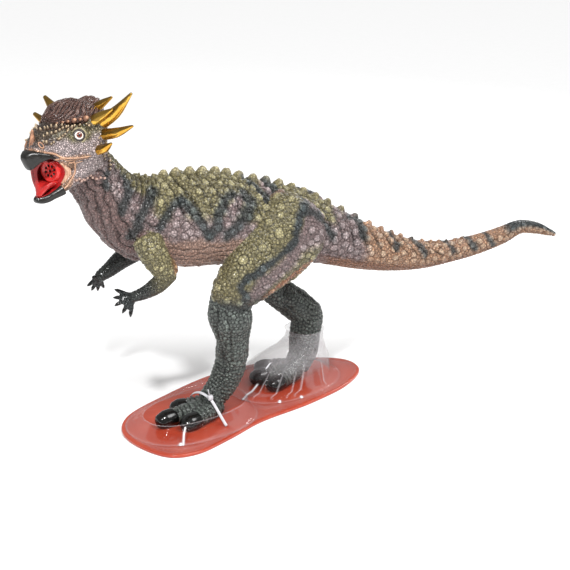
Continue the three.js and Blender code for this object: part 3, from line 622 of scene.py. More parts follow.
def to_head(points):
    return (np.asarray(points, float) - HEAD_PLACE) @ HEAD_AXES


def head_tube(stations, ref=UP):
    return Tube(stations, ref, HEAD_AXES, HEAD_PLACE)


def on_side(at, mirror):
    """A place on the head's left side, or with a mirror of -1 the same one on its right side."""
    return to_world([np.array(at) * [1, mirror, 1]])[0]


def reshaped(points, change):
    """Rings of points after a change in the head's axes."""
    return to_world(change(to_head(points.reshape(-1, 3)))).reshape(points.shape)


def grid_faces(rows, sides, base=0, closed=True):
    """Quads between rings of points, which are closed loops or open rows."""
    faces = []
    for r in range(rows - 1):
        for i in range(sides if closed else sides - 1):
            j = (i + 1) % sides
            a, b = base + r * sides, base + (r + 1) * sides
            faces.append((a + i, a + j, b + j, b + i))
    return faces


def closed_mesh(points, poles):
    rows, sides, _ = points.shape
    verts = np.vstack([points.reshape(-1, 3), poles[0], poles[1]])
    faces = grid_faces(rows, sides)
    first, last, low = len(verts) - 2, len(verts) - 1, (rows - 1) * sides
    faces += [((i + 1) % sides, i, first) for i in range(sides)]
    faces += [(low + i, low + (i + 1) % sides, last) for i in range(sides)]
    return verts, faces


def make_object(name, verts, faces):
    """An object from points in millimetres, with its faces turned outwards."""
    mesh = bpy.data.meshes.new(name)
    mesh.from_pydata((np.asarray(verts) * MM).tolist(), [], faces)
    bm = bmesh.new()
    bm.from_mesh(mesh)
    bmesh.ops.recalc_face_normals(bm, faces=bm.faces)
    bm.to_mesh(mesh)
    bm.free()
    mesh.polygons.foreach_set("use_smooth", [True] * len(mesh.polygons))
    return add_object(name, mesh)


def tube_object(name, tube, sides=32, rings=24, **options):
    return make_object(name, *closed_mesh(*tube.grid(sides, rings, **options)))


def joined(name, pieces):
    """One mesh of several lists of points and faces."""
    verts, faces, base = [], [], 0
    for points, polygons in pieces:
        verts.append(np.asarray(points, float))
        faces += [tuple(base + v for v in polygon) for polygon in polygons]
        base += len(points)
    return make_object(name, np.vstack(verts), faces)


def apply_modifiers(piece):
    """Puts the result of the piece's modifiers into its mesh."""
    graph = bpy.context.evaluated_depsgraph_get()
    graph.update()
    mesh = bpy.data.meshes.new_from_object(piece.evaluated_get(graph))
    piece.modifiers.clear()
    old = piece.data
    piece.data = mesh
    bpy.data.meshes.remove(old)


def cut(piece, tool):
    modifier = piece.modifiers.new("cut", "BOOLEAN")
    modifier.operation = "DIFFERENCE"
    modifier.solver = "EXACT"
    modifier.object = tool
    apply_modifiers(piece)


def discard(*pieces):
    for piece in pieces:
        bpy.data.objects.remove(piece)


def finish_piece(piece, material, slot, *nodes):
    if piece.data.materials:
        piece.data.materials.clear()
    piece.data.materials.append(material)
    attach(piece, "root")
    if nodes:
        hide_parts(*nodes)


def read_points(mesh, what="co"):
    values = np.empty(len(mesh.vertices) * 3, np.float32)
    mesh.vertices.foreach_get(what, values)
    return values.reshape(-1, 3).astype(float)


def write_values(mesh, name, values):
    """A number for each point, or a colour."""
    if values.ndim == 2:
        values = np.hstack([values, np.ones((len(values), 1))])
        attribute, key = mesh.attributes.new(name, "FLOAT_COLOR", "POINT"), "color"
    else:
        attribute, key = mesh.attributes.new(name, "FLOAT", "POINT"), "value"
    attribute.data.foreach_set(key, values.astype(np.float32).ravel())


def smoothstep(lo, hi, x):
    t = np.clip((x - lo) / (hi - lo), 0, 1)
    return t * t * (3 - 2 * t)


# Value noise that is the same on each run
LATTICE = np.random.default_rng(3).random((32, 32, 32))


def wobble(points, size, seed=0):
    """Smooth noise from -1 to 1 with features of the given size."""
    q = points / size + seed * 7.13
    i = np.floor(q).astype(int)
    f = q - i
    f = f * f * (3 - 2 * f)
    total = 0
    for dx in (0, 1):
        for dy in (0, 1):
            for dz in (0, 1):
                weight = 1
                for axis, d in enumerate((dx, dy, dz)):
                    weight = weight * (f[:, axis] if d else 1 - f[:, axis])
                total = total + weight * LATTICE[(i[:, 0] + dx) % 32, (i[:, 1] + dy) % 32, (i[:, 2] + dz) % 32]
    return total * 2 - 1


# Flesh: every soft form as a tube, joined into one skin
VOXEL = 0.85
MOST_TRIANGLES = 196000


def toe_stations(points):
    return [[*at, TOE_RADIUS[i], TOE_RADIUS[i] * 0.92, at[2] - SOLE_Z] for i, at in enumerate(points[:3])]


def finger_stations(palm, tip):
    knuckle = [a + (b - a) * 0.55 for a, b in zip(palm, tip)]
    return [[*palm, 3, 3, 3], [*knuckle, 2.7, 2.7, 2.7], [*tip, 1.0, 1.0, 1.0]]


def horn_line(name, side, mirror):
    """The points and radii of a horn, from inside the head to its tip."""
    root, bend, tip, radius = HORNS[name]
    drop = HORN_DROP.get(f"{name}_{side}", 0)
    flip = np.array([1, mirror, 1])
    root, bend, tip = (np.array(at, float) for at in (root, bend, tip))
    bend[2] -= drop * 0.4
    tip[2] -= drop
    tip = bend + (tip - bend) * HORN_REACH.get(f"{name}_{side}", 1)
    inward = unit(root - bend) * 3
    line = [at * flip for at in (root + inward, root, bend, tip)]
    thin, tip_radius = (0.82, 1.3) if side == "left" else (0.92, 2.0)
    return line, [radius * 1.04, radius, radius * thin, tip_radius]


def flesh_tubes():
    tubes = {"spine": (Tube(SPINE), dict(sides=64, rings=220, end=2))}
    tubes["skull"] = (head_tube(SKULL), dict(sides=64, rings=48, start=8, end=2))
    tubes["jaw"] = (head_tube(JAW), dict(sides=48, rings=36, start=8, end=3))
    for side, mirror in SIDES:
        for name in HORNS:
            line, radii = horn_line(name, side, mirror)
            inner, root, bend, _ = line
            end = root + (bend - root) * (COLLAR_SHARE[name] * 2)
            wide = (radii[0] * 1.2, radii[1] * 1.2, radii[1] * 0.98)
            stations = [[*at, r, r, r] for at, r in zip((inner, root, end), wide)]
            tubes[f"collar_{name}_{side}"] = (head_tube(stations), dict(sides=28, rings=16, start=2, end=1.2))
    for side, leg in LEGS.items():
        tubes[f"thigh_{side}"] = (Tube(leg["thigh"], FORWARD), dict(sides=48, rings=40, start=12, end=8))
        tubes[f"shin_{side}"] = (Tube(leg["shin"], FORWARD), dict(sides=48, rings=36, start=6, end=6))
        tubes[f"foot_{side}"] = (Tube(leg["foot"], FORWARD), dict(sides=48, rings=36, start=3, end=5))
        for name, points in zip(TOE_NAMES, leg["toes"]):
            tubes[f"toe_{name}_{side}"] = (Tube(toe_stations(points)), dict(sides=32, rings=24, start=4, end=1))
    for side, arm in ARMS.items():
        tubes[f"upper_{side}"] = (Tube(arm["upper"], FORWARD), dict(sides=40, rings=30, start=6, end=6))
        tubes[f"fore_{side}"] = (Tube(arm["fore"]), dict(sides=40, rings=36, start=5, end=3))
        palm = arm["fore"][-1][:3]
        for i, tip in enumerate(arm["fingers"]):
            tubes[f"finger_{i}_{side}"] = (Tube(finger_stations(palm, tip)), dict(sides=20, rings=14, end=0.6))
    return tubes


def flesh_object(tubes, voxel):
    """All tubes as one closed surface, with the mouth cut into the head first."""
    parts = []
    hollow = tube_object("hollow", head_tube(MOUTH), 48, 30)
    for name, (tube, options) in tubes.items():
        part = tube_object(name, tube, **options)
        if name in ("skull", "jaw"):
            cut(part, hollow)
        parts.append(part)
    discard(hollow)
    bm = bmesh.new()
    for part in parts:
        bm.from_mesh(part.data)
    discard(*parts)
    mesh = bpy.data.meshes.new("skin")
    bm.to_mesh(mesh)
    bm.free()
    skin = add_object("skin", mesh)
    remesh = skin.modifiers.new("remesh", "REMESH")
    remesh.mode = "VOXEL"
    remesh.voxel_size = voxel * MM
    apply_modifiers(skin)
    return skin


def nearest_tubes(points, tubes):
    """For each point the nearest tube's index, with its station and angle there."""
    best = np.full(len(points), 1e9)
    second = np.full(len(points), 1e9)
    which = np.zeros(len(points), int)
    station = np.zeros(len(points))
    angle = np.zeros(len(points))
    for index, (tube, _) in enumerate(tubes.values()):
        centre, _, _, _, size = tube.at(np.linspace(0, tube.last, 30))
        pad = size.max() + 12
        near = np.all((points > centre.min(0) - pad) & (points < centre.max(0) + pad), axis=1)
        rows = np.nonzero(near)[0]
        if not len(rows):
            continue
        s, turn, height = tube.locate(points[rows])
        far = np.abs(height)
        better = far < best[rows]
        second[rows] = np.where(better, best[rows], np.minimum(second[rows], far))
        hit = rows[better]
        best[hit], which[hit], station[hit], angle[hit] = far[better], index, s[better], turn[better]
    return which, station, angle, best, second


def smooth_creases(skin, points, best, second):
    """Softens the skin a little everywhere, and more where two forms meet."""
    crease = skin.vertex_groups.new(name="crease")
    weight = 1 - smoothstep(0.5, 7, second - best)
    in_head = to_head(points)
    mouth = (in_head[:, 0] > 8) & (np.linalg.norm(in_head, axis=1) < 75)
    weight[mouth] = 0
    for level in range(1, 6):
        rows = np.nonzero((weight > (level - 0.5) / 5) & (weight <= (level + 0.5) / 5))[0]
        crease.add(rows.tolist(), level / 5, "REPLACE")
    soft = skin.modifiers.new("soft", "SMOOTH")
    soft.factor, soft.iterations = 0.5, 3
    blend = skin.modifiers.new("blend", "SMOOTH")
    blend.factor, blend.iterations, blend.vertex_group = 0.6, 30, "crease"
    apply_modifiers(skin)
    skin.vertex_groups.clear()


# Scales: seeds on the skin, each with a size and a height
class Seeds:
    def __init__(self, points):
        self.points = points
        self.at, self.size, self.tall, self.kind = [], [], [], []
        self.cells = {}

    def _key(self, p):
        return (int(p[0] // 4), int(p[1] // 4), int(p[2] // 4))

    def free(self, p, room):
        kx, ky, kz = self._key(p)
        reach = 1 if room < 4 else int(room // 4) + 1
        for x in range(kx - reach, kx + reach + 1):
            for y in range(ky - reach, ky + reach + 1):
                for z in range(kz - reach, kz + reach + 1):
                    for other in self.cells.get((x, y, z), ()):
                        q = self.at[other]
                        d = (p[0] - q[0]) ** 2 + (p[1] - q[1]) ** 2 + (p[2] - q[2]) ** 2
                        gap = 0.5 * (room + self.size[other])
                        if d < gap * gap:
                            return False
        return True

    def add(self, p, size, tall, kind=0.0):
        self.cells.setdefault(self._key(p), []).append(len(self.at))
        self.at.append(p)
        self.size.append(size)
        self.tall.append(tall)
        self.kind.append(kind)

    def scatter(self, area, size, tall, kind=0.0, limit=None):
        """Fills an area of the skin with seeds that keep their distance."""
        rows = RNG.permutation(np.nonzero(area)[0])
        placed = 0
        for p in self.points[rows].tolist():
            if self.free(p, size):
                self.add(p, size, tall, kind)
                placed += 1
                if limit and placed >= limit:
                    return


def snap(tree, p, reach):
    """The skin's point nearest to p, or nothing if it is further than reach."""
    _, index, distance = tree.find(p)
    return index if distance <= reach else None


def tree_of(points):
    tree = kdtree.KDTree(len(points))
    for i, p in enumerate(points):
        tree.insert(p, i)
    tree.balance()
    return tree


class Skin:
    """The skin's points with what each belongs to, for laying scales and paint."""

    def __init__(self, points, tubes):
        self.points = points
        self.tubes = tubes
        self.names = list(tubes)
        self.which, self.station, self.angle, self.best, self.second = nearest_tubes(points, tubes)
        self.head = to_head(points)
        spine = tubes["spine"][0]
        knots = np.linspace(0, spine.last, 800)
        centre, _, top, _, size = spine.at(knots)
        self.arc_knots = knots
        self.arc = arc_lengths(centre)
        self.crest_x = (centre + top * size[:, 1:2])[:, 0]
        self.along = np.interp(self.station, knots, self.arc)

    def part(self, *starts):
        chosen = [i for i, name in enumerate(self.names) if any(name.startswith(s) for s in starts)]
        return np.isin(self.which, chosen)

    def length_at_x(self, x):
        """How far along the body its crest reaches this x."""
        return np.interp(x, self.crest_x, self.arc)

    def station_at(self, length):
        return np.interp(length, self.arc, self.arc_knots)


# The eye's own axes, within the head's
EYE_FRONT = unit(np.array(EYE_FACING))
EYE_ACROSS = unit(np.cross(EYE_FRONT, UP))
EYE_OVER = np.cross(EYE_ACROSS, EYE_FRONT)


def lay_seeds(skin):
    seeds = Seeds(skin.points)
    spine = skin.tubes["spine"][0]
    body = skin.part("spine")
    body_rows = np.nonzero(body)[0]
    tree = tree_of(skin.points[body_rows].tolist())
    degrees = np.degrees(np.abs(skin.angle))
    knots = [float(skin.length_at_x(x)) for x in KNOBS_X]

    def put(length, girth, size, tall, kind):
        s = float(skin.station_at(length))
        radius = float(spine.at([s])[4][0, :2].mean())
        angle = girth / radius
        if abs(angle) > 1.75:
            return
        p = spine.surface([s], [angle])[0]
        index = snap(tree, p, 3.5)
        if index is not None and seeds.free(p, size * 0.8):
            seeds.add(skin.points[body_rows[index]].tolist(), size, tall, kind)

    # Rows of scutes across the back, one to a knob, with finer ones between.
    for i, length in enumerate(knots):
        radius = float(spine.at([float(skin.station_at(length))])[4][0, :2].mean())
        reach = radius * (1.25 if length < knots[17] else 1.5)
        scale = 0.55 + 0.45 * radius / 44
        step = 10.5 * scale
        after = knots[i + 1] if i + 1 < len(knots) else length + 10
        for side in (-1, 1):
            girth = step * 0.95
            while girth < reach:
                put(length + ROW_LEAN * girth + RNG.normal(0, 0.5), side * (girth + RNG.normal(0, 0.5)),
                    7.6 * scale, 3.1 * scale, 1.0)
                girth += step
        half = (after - length) / 2
        for side in (-1, 1):
            girth = step * 0.45
            while girth < reach:
                put(length + half + ROW_LEAN * girth + RNG.normal(0, 0.4), side * girth,
                    4.0 * scale, 1.4 * scale, 0.35)
                girth += 5.2 * scale

    length = skin.along
    # Large oval beads on the tail's base and flank, then smaller ones between.
    tail_base = body & (length > knots[11]) & (length < knots[20]) & (degrees > 35) & (degrees < 115)
    seeds.scatter(tail_base, 7.2, 1.7, 0.8, limit=110)
    tail_low = body & (length >= knots[19]) & (degrees > 55) & (degrees < 110)
    seeds.scatter(tail_low, 6.4, 1.3, 0.9, limit=70)
    chest = body & (length > knots[3]) & (length < knots[11]) & (degrees > 62) & (degrees < 105)
    seeds.scatter(chest, 6.5, 1.5, 0.8, limit=60)
    neck = body & (length < knots[3])
    for place, size in NECK_BEADS:
        near = np.linalg.norm(skin.points[body] - np.array(place), axis=1)
        if near.min() < 4:
            seeds.add(skin.points[body][near.argmin()].tolist(), size, 1.6, 1.3)
    seeds.scatter(neck & (degrees > 40), 4.4, 1.1, 0.8, limit=120)
    seeds.scatter(neck, 3.0, 0.6, 0.15)
    under = body & ~neck & (degrees > 112) & (length < knots[17])
    seeds.scatter(under, 3.8, 0.2, 0.1)
    seeds.scatter(body & ~neck & (length < knots[20]), 3.3, 0.8, 0.15)
    seeds.scatter(body & (length >= knots[20]), 2.8, 0.7, 0.15)
    # Legs: rosettes of large scales on the thighs, pebbles on the shins and feet.
    thigh = skin.part("thigh")
    for centre, radius in ROSETTES:
        near = np.linalg.norm(skin.points[thigh] - np.array(centre), axis=1)
        if near.min() <= 9:
            ring_of_scales(seeds, skin.points[thigh], skin.points[thigh][near.argmin()], radius)
    seeds.scatter(thigh, 6.6, 1.8, 0.9, limit=90)
    seeds.scatter(thigh, 3.3, 0.8, 0.15)
    lower = skin.part("shin", "foot", "toe")
    seeds.scatter(skin.part("shin"), 3.8, 1.1, 1.1, limit=160)
    seeds.scatter(lower, 2.7, 1.0, 0.95)
    arm = skin.part("upper", "fore", "finger")
    seeds.scatter(skin.part("upper"), 4.4, 1.1, 0.8, limit=70)
    seeds.scatter(arm, 2.5, 0.55, 0.2)
    # Head: rings round the eyes, rows of beads on the cheeks, rough scales on the snout.
    head = skin.part("skull", "jaw", "collar")
    head_rows = np.nonzero(head)[0]
    head_tree = tree_of(skin.head[head_rows].tolist())

    def put_head(p, size, tall, kind, reach):
        index = snap(head_tree, p, reach)
        if index is not None:
            at = skin.points[head_rows[index]].tolist()
            if seeds.free(at, size * 0.75):
                seeds.add(at, size, tall, kind)

    for mirror in (1, -1):
        flip = np.array([1, mirror, 1])
        for ring in range(4):
            radius = 7.2 + ring * 1.9
            count = int(2 * math.pi * radius / 1.9)
            for i in range(count):
                turn = 2 * math.pi * i / count
                p = np.array(EYE_AT) + radius * (math.cos(turn) * EYE_ACROSS + math.sin(turn) * EYE_OVER)
                put_head(p * flip, 1.8, 0.45, 0.3, 6.0)
        for x in np.arange(-30, 20, 2.0):
            for z in np.arange(-38, 2, 1.9):
                widest = 32 if x < 4 else 26
                for y in range(widest, widest - 13, -4):
                    index = snap(head_tree, (x, y * mirror, z), 2.6)
                    if index is not None:
                        put_head(skin.head[head_rows[index]].tolist(), 1.9, 0.5, 0.3, 1.0)
                        break
    seeds.scatter(head & (skin.head[:, 2] > 2), 2.6, 0.6, 0.3)
    seeds.scatter(head, 1.9, 0.4, 0.2)
    return seeds


# Large pale beads on the neck's side: place and size
NECK_BEADS = [
    ((-179.8, -36.4, 248.5), 6.0), ((-176.9, -35.7, 245.4), 4.5), ((-174.8, -32.9, 253.7), 4.0),
    ((-182.3, -36.2, 253.2), 4.5), ((-186.3, -38.0, 257.3), 4.0), ((-189.4, -36.7, 252.9), 4.0),
    ((-187.6, -37.0, 243.1), 4.5), ((-181.6, -35.8, 237.9), 4.5), ((-183.9, -35.5, 231.3), 4.0),
]
ROSETTES = [
    ((-24, -54, 198), 8), ((-44, -58, 187), 6.5), ((-62, -52, 174), 7.5), ((-8, -50, 206), 6), ((-84, -45, 146), 6),
    ((-44, -57, 165), 6), ((-70, -52, 160), 6), ((18, 56, 190), 8), ((2, 58, 168), 7), ((-12, 55, 146), 6.5),
    ((-22, 48, 130), 6),
]


def ring_of_scales(seeds, points, place, radius):
    """A large flat scale ringed by smaller ones."""
    if not seeds.free(place.tolist(), radius * 0.7):
        return
    seeds.add(place.tolist(), radius * 1.1, 2.2, 1.0)
    count = int(2 * math.pi * radius / 3.6)
    near = points[np.linalg.norm(points - place, axis=1) < radius + 4]
    normal = unit(np.linalg.svd(near - near.mean(0), full_matrices=False)[2][2])
    across = unit(np.cross(normal, UP))
    over = np.cross(across, normal)
    for i in range(count):
        turn = 2 * math.pi * i / count
        p = place + radius * 1.05 * (math.cos(turn) * across + math.sin(turn) * over)
        spot = near[np.linalg.norm(near - p, axis=1).argmin()]
        if seeds.free(spot.tolist(), 2.6):
            seeds.add(spot.tolist(), 3.4, 1.2, 0.5)


def scale_relief(points, seeds):
    """Height of the scales at each point, with how deep it is in a groove and its scale's number."""
    tree = tree_of(seeds.at)
    size = np.array(seeds.size)
    tall = np.array(seeds.tall)
    count = 5
    index = np.empty((len(points), count), int)
    gap = np.empty((len(points), count))
    for i, p in enumerate(points.tolist()):
        found = tree.find_n(p, count)
        for k, (_, j, d) in enumerate(found):
            index[i, k] = j
            gap[i, k] = d
    reach = gap / (size[index] * 0.5) ** 0.8
    order = np.argsort(reach, axis=1)
    rows = np.arange(len(points))
    first, second = order[:, 0], order[:, 1]
    own = index[rows, first]
    f1, f2 = reach[rows, first], reach[rows, second]
    edge = np.clip((f2 - f1) / np.maximum(f1 + f2, 1e-6) * 2.2, 0, 1)
    rise = smoothstep(0.0, 0.62, edge)
    crown = 1 - 0.4 * np.clip(gap[rows, first] / size[own], 0, 1) ** 2
    return tall[own] * rise * crown, rise, own


def knob_relief(skin):
    """The row of blunt knobs along the back."""
    spine = skin.tubes["spine"][0]
    height = np.zeros(len(skin.points))
    for i, x in enumerate(KNOBS_X):
        s = float(skin.station_at(float(skin.length_at_x(x))))
        centre, _, top, _, size = spine.at([s])
        foot = centre[0] + top[0] * size[0, 1]
        scale = (max(size[0, 0], 9) / 44) ** 0.85
        if i < 3:
            scale *= 0.75
        away = np.linalg.norm(skin.points - foot, axis=1)
        radius = 5.5 * scale
        bump = 6.8 * scale * np.exp(-((away / radius) ** 3.2))
        height = np.maximum(height, bump)
    return height


def fold_relief(skin):
    """Ridges on the nape, folds of the throat and belly, and wrinkles at the joints."""
    p = skin.points
    body = skin.part("spine")
    degrees = np.degrees(np.abs(skin.angle))
    total = np.zeros(len(p))
    noise = wobble(p, 9, 1)
    length = skin.along
    neck_end = float(skin.length_at_x(KNOBS_X[2]))
    nape = body * (1 - smoothstep(58, 85, degrees)) * (1 - smoothstep(neck_end - 8, neck_end + 4, length))
    ridge = 0.5 + 0.5 * np.cos(2 * math.pi * (length - 0.25 * degrees / 10 + noise * 1.2) / 8.6)
    total += nape * (3.0 * ridge**1.5 - 1.4)
    throat = body * smoothstep(62, 92, degrees) * (1 - smoothstep(neck_end + 2, neck_end + 22, length))
    fold = np.abs(np.sin(math.pi * (degrees + 12 * np.sin(length / 17) + noise * 9) / 21))
    total -= throat * 2.0 * bell(fold, 0.28)
    total += throat * (0.5 * fold + 0.9 * wobble(p * np.array([1, 1, 0.5]), 10, 33))
    belly = body * smoothstep(98, 120, degrees) * smoothstep(neck_end + 5, neck_end + 30, length)
    line = np.abs(np.sin(math.pi * (degrees * 0.75 + noise * 3.0 + 0.08 * length) / 6.5))
    total -= belly * 1.9 * bell(line, 0.26)
    rows = smoothstep(neck_end, neck_end + 20, length) * body * (1 - smoothstep(65, 85, degrees))
    girth = np.radians(degrees) * 40
    knots = np.array([skin.length_at_x(x) for x in KNOBS_X])
    position = np.interp(length - ROW_LEAN * girth, knots, np.arange(len(knots)))
    between = np.abs(np.mod(position + noise * 0.05, 1) - 0.33)
    total -= rows * 2.9 * bell(between, 0.115) * (length < knots[-4])
    hips = body * smoothstep(70, 88, degrees) * smoothstep(neck_end + 5, neck_end + 30, length)
    crossing = np.abs(np.sin(math.pi * (length * 0.9 + girth * 0.25 + noise * 3.5) / 8.5))
    total -= hips * (1 - smoothstep(98, 112, degrees)) * 0.9 * bell(crossing, 0.25)
    for side, _ in SIDES:
        for name, every, deep, stray in WRINKLES:
            limb = skin.part(f"{name}_{side}")
            tube = skin.tubes[f"{name}_{side}"][0]
            stations = np.linspace(0, tube.last, 80)
            run = np.interp(skin.station, stations, arc_lengths(tube.at(stations)[0]))
            wave = np.abs(np.sin(math.pi * (run + noise * stray + stray * np.sin(skin.angle)) / every))
            total -= limb * deep * bell(wave, 0.3 if stray > 1 else 0.5)
    shins = skin.part("shin")
    seam = np.abs(np.sin(1.6 * skin.angle + 0.9 + 0.5 * wobble(p, 22, 19)))
    second = np.abs(np.sin(2.4 * skin.angle - 0.6 + 0.9 * wobble(p, 30, 20)))
    total -= shins * (2.2 * bell(seam, 0.2) + 1.5 * bell(second, 0.16))
    lumps = skin.part("shin", "foot")
    total += lumps * (2.0 * wobble(p * np.array([1, 1, 0.45]), 11, 17) + 0.5)
    return total


def head_relief(skin):
    """Lip line, cheek folds and the soft skin at the mouth's corner."""
    h = skin.head
    head = skin.part("skull", "jaw", "collar")
    folded = np.stack([h[:, 0], np.abs(h[:, 1]), h[:, 2]], 1)
    total = np.zeros(len(h))
    lip = line_distance(folded, LIP_LINE)
    total += head * (1.3 * bell(lip, 1.5) - 0.5 * bell(lip - 3.2, 1.0))
    web = membrane(h) * head
    total += web * 0.45 * np.sin(h[:, 0] * 1.9 + np.sin(h[:, 2] * 0.35))
    throat_bag = head * smoothstep(-26, -34, h[:, 2]) * (1 - smoothstep(4, 12, h[:, 0]))
    total += throat_bag * 0.8 * wobble(h, 5, 31)
    bag = np.linalg.norm(folded - np.array(EYE_AT), axis=1)
    total += head * 0.5 * bell(bag - 8.0, 0.9)
    return total


LIP_LINE = [[44, 5, -1], [40, 11, -2.5], [34, 15.5, -6.5], [24, 19.5, -11], [15, 23, -12], [6, 25.5, -12], [0, 27, -13]]


def membrane(h):
    """Where the soft skin between the jaws is, in the head's axes."""
    inside = smoothstep(9, 12, h[:, 0]) * smoothstep(-12.5, -15, h[:, 2]) * (1 - smoothstep(26, 30, h[:, 0]))
    slope = h[:, 0] - (0.28 * (-h[:, 2] - 14))
    return inside * smoothstep(7.5, 10.5, slope)


def line_distance(points, line):
    """Distance from points to a broken line."""
    line = np.asarray(line, float)
    best = np.full(len(points), 1e9)
    for a, b in zip(line[:-1], line[1:]):
        ab = b - a
        t = np.clip(((points - a) @ ab) / (ab @ ab), 0, 1)
        best = np.minimum(best, np.linalg.norm(points - (a + t[:, None] * ab), axis=1))
    return best


# Paint
# Each paint has a dark tone for the grooves as painted shade, its own middle colour, and a pale tone for the tops that
# is partly dry-brushed paint and partly painted highlight.
OLIVE = ((40, 34, 22), (116, 107, 70), (204, 194, 146))
MAUVE = ((54, 38, 40), (132, 110, 108), (206, 188, 188))
PEACH = ((92, 58, 48), (178, 143, 126), (214, 184, 168))
DARK = ((10, 13, 13), (32, 39, 40), (96, 108, 110))
BLACK = ((3, 4, 4), (20, 24, 23), (138, 148, 140))
BROWN = ((40, 26, 24), (120, 92, 88), (190, 164, 158))
ORANGE = ((110, 62, 36), (176, 116, 80), (212, 160, 122))
TERRA = ((78, 44, 28), (182, 134, 100), (238, 208, 178))
RUST = ((70, 38, 22), (164, 110, 78), (206, 162, 126))
SNOUT = ((26, 18, 15), (56, 40, 33), (138, 111, 90))
LILAC = ((80, 56, 64), (214, 194, 192), (244, 232, 232))
LIP = ((136, 90, 68), (196, 154, 126), (226, 194, 168))

NEAR_DARK = {
    "a_left": ([(-116, -33, 234), (-129, -36, 227), (-137, -38, 214), (-144, -43, 205)], 4.0),
    "a_right": ([(-116, -33, 234), (-109, -39, 225), (-103, -42, 217), (-98, -44, 206), (-93, -43, 200)], 5.4),
    "b": ([(-64, -29, 234), (-76, -36, 229), (-83, -41, 219), (-83, -44, 207), (-91, -43, 201)], 5.8),
    "c": ([(-53, -26, 233), (-47, -33, 225), (-55, -40, 215), (-65, -43, 205), (-72, -43, 199)], 7.0),
    "d1": ([(-44, -3, 241), (-36, -18, 234), (-27, -26, 225)], 4.8),
    "d2": ([(-24, -2, 236), (-15, -14, 230), (-17, -32, 227)], 5.4),
    "f": ([(7, -30, 222), (7, -41, 212), (21, -40, 207), (34, -29, 190), (39, -30, 181)], 5.4),
    "g": ([(65, -10, 192), (77, -6, 187), (78, -14, 181), (77, -21, 174)], 5.4),
    "h": ([(110, 1, 170), (114, 0, 168), (115, -9, 165), (118, -15, 156)], 4.6),
    "i": ([(142, 2, 160), (146, -4, 156), (148, -9, 152), (152, -13, 144)], 4.6),
    "j": ([(180, 2, 152), (183, -6, 149), (187, -11, 141)], 4.2),
    "k": ([(207, 3, 154), (209, -6, 150), (213, -10, 143)], 4.0),
    "l": ([(227, 1, 158), (230, -5, 153), (234, -9, 145)], 3.6),
    "neck1": ([(-187, -36, 267), (-190, -38, 261), (-188, -37, 254)], 4.5),
    "neck2": ([(-169, -25, 258), (-165, -28, 248), (-171, -34, 239), (-176, -34, 229)], 5.0),
    "neck3": ([(-142, -21, 242), (-150, -32, 231), (-159, -35, 218), (-166, -32, 204)], 5.5),
}
NEAR_MAUVE = {
    "mauve1": ([(-120, -38, 224), (-121, -41, 213), (-126, -44, 203), (-110, -43, 207)], 7.5),
    "mauve2": ([(-60, -34, 230), (-68, -39, 220), (-76, -43, 209), (-85, -43, 199)], 6.5),
    "dm": ([(-31, 4, 240), (-29, 5, 236), (-27, -15, 233), (-23, -25, 227)], 4.5),
    "tail": ([(16, -48, 198), (10, -51, 191), (22, -40, 204), (28, -33, 190)], 9.0),
    "tail_low": ([(10, -40, 178), (30, -32, 170), (50, -26, 163)], 8.0),
    "mauve3": ([(52, -10, 198), (55, -25, 184), (54, -21, 191), (49, -29, 175), (58, -27, 170)], 8.5),
}
THIGH_DARK = ([(5, -41, 219), (-2, -47, 210), (-7, -53, 197), (-9, -55, 188), (-17, -57, 181), (-29, -58, 174),
               (-44, -58, 165), (-59, -58, 157), (-66, -57, 149), (-61, -57, 136)], 4.4)
THIGH_MAUVE = ([(-1, -54, 190), (-14, -57, 172), (-29, -58, 159), (-44, -58, 148), (-51, -56, 137)], 8.0)
THIGH_ORANGE = ([(8, -46, 164), (2, -49, 161), (-15, -52, 148), (-31, -53, 138), (-42, -51, 130)], 3.4)


def tones(colours):
    return np.array([linear(*colour) for colour in colours])[None]


def lay(paint, layers):
    """Layers of colour over the paint, each with how much of it there is at each point."""
    for colours, amount in layers:
        paint = paint + (tones(colours) - paint) * amount[:, None, None]
    return paint


def line_mask(points, mark, noise):
    line, width = mark
    return 1 - smoothstep(width * 0.5, width * 1.5, line_distance(points, line) + noise * 2.2)


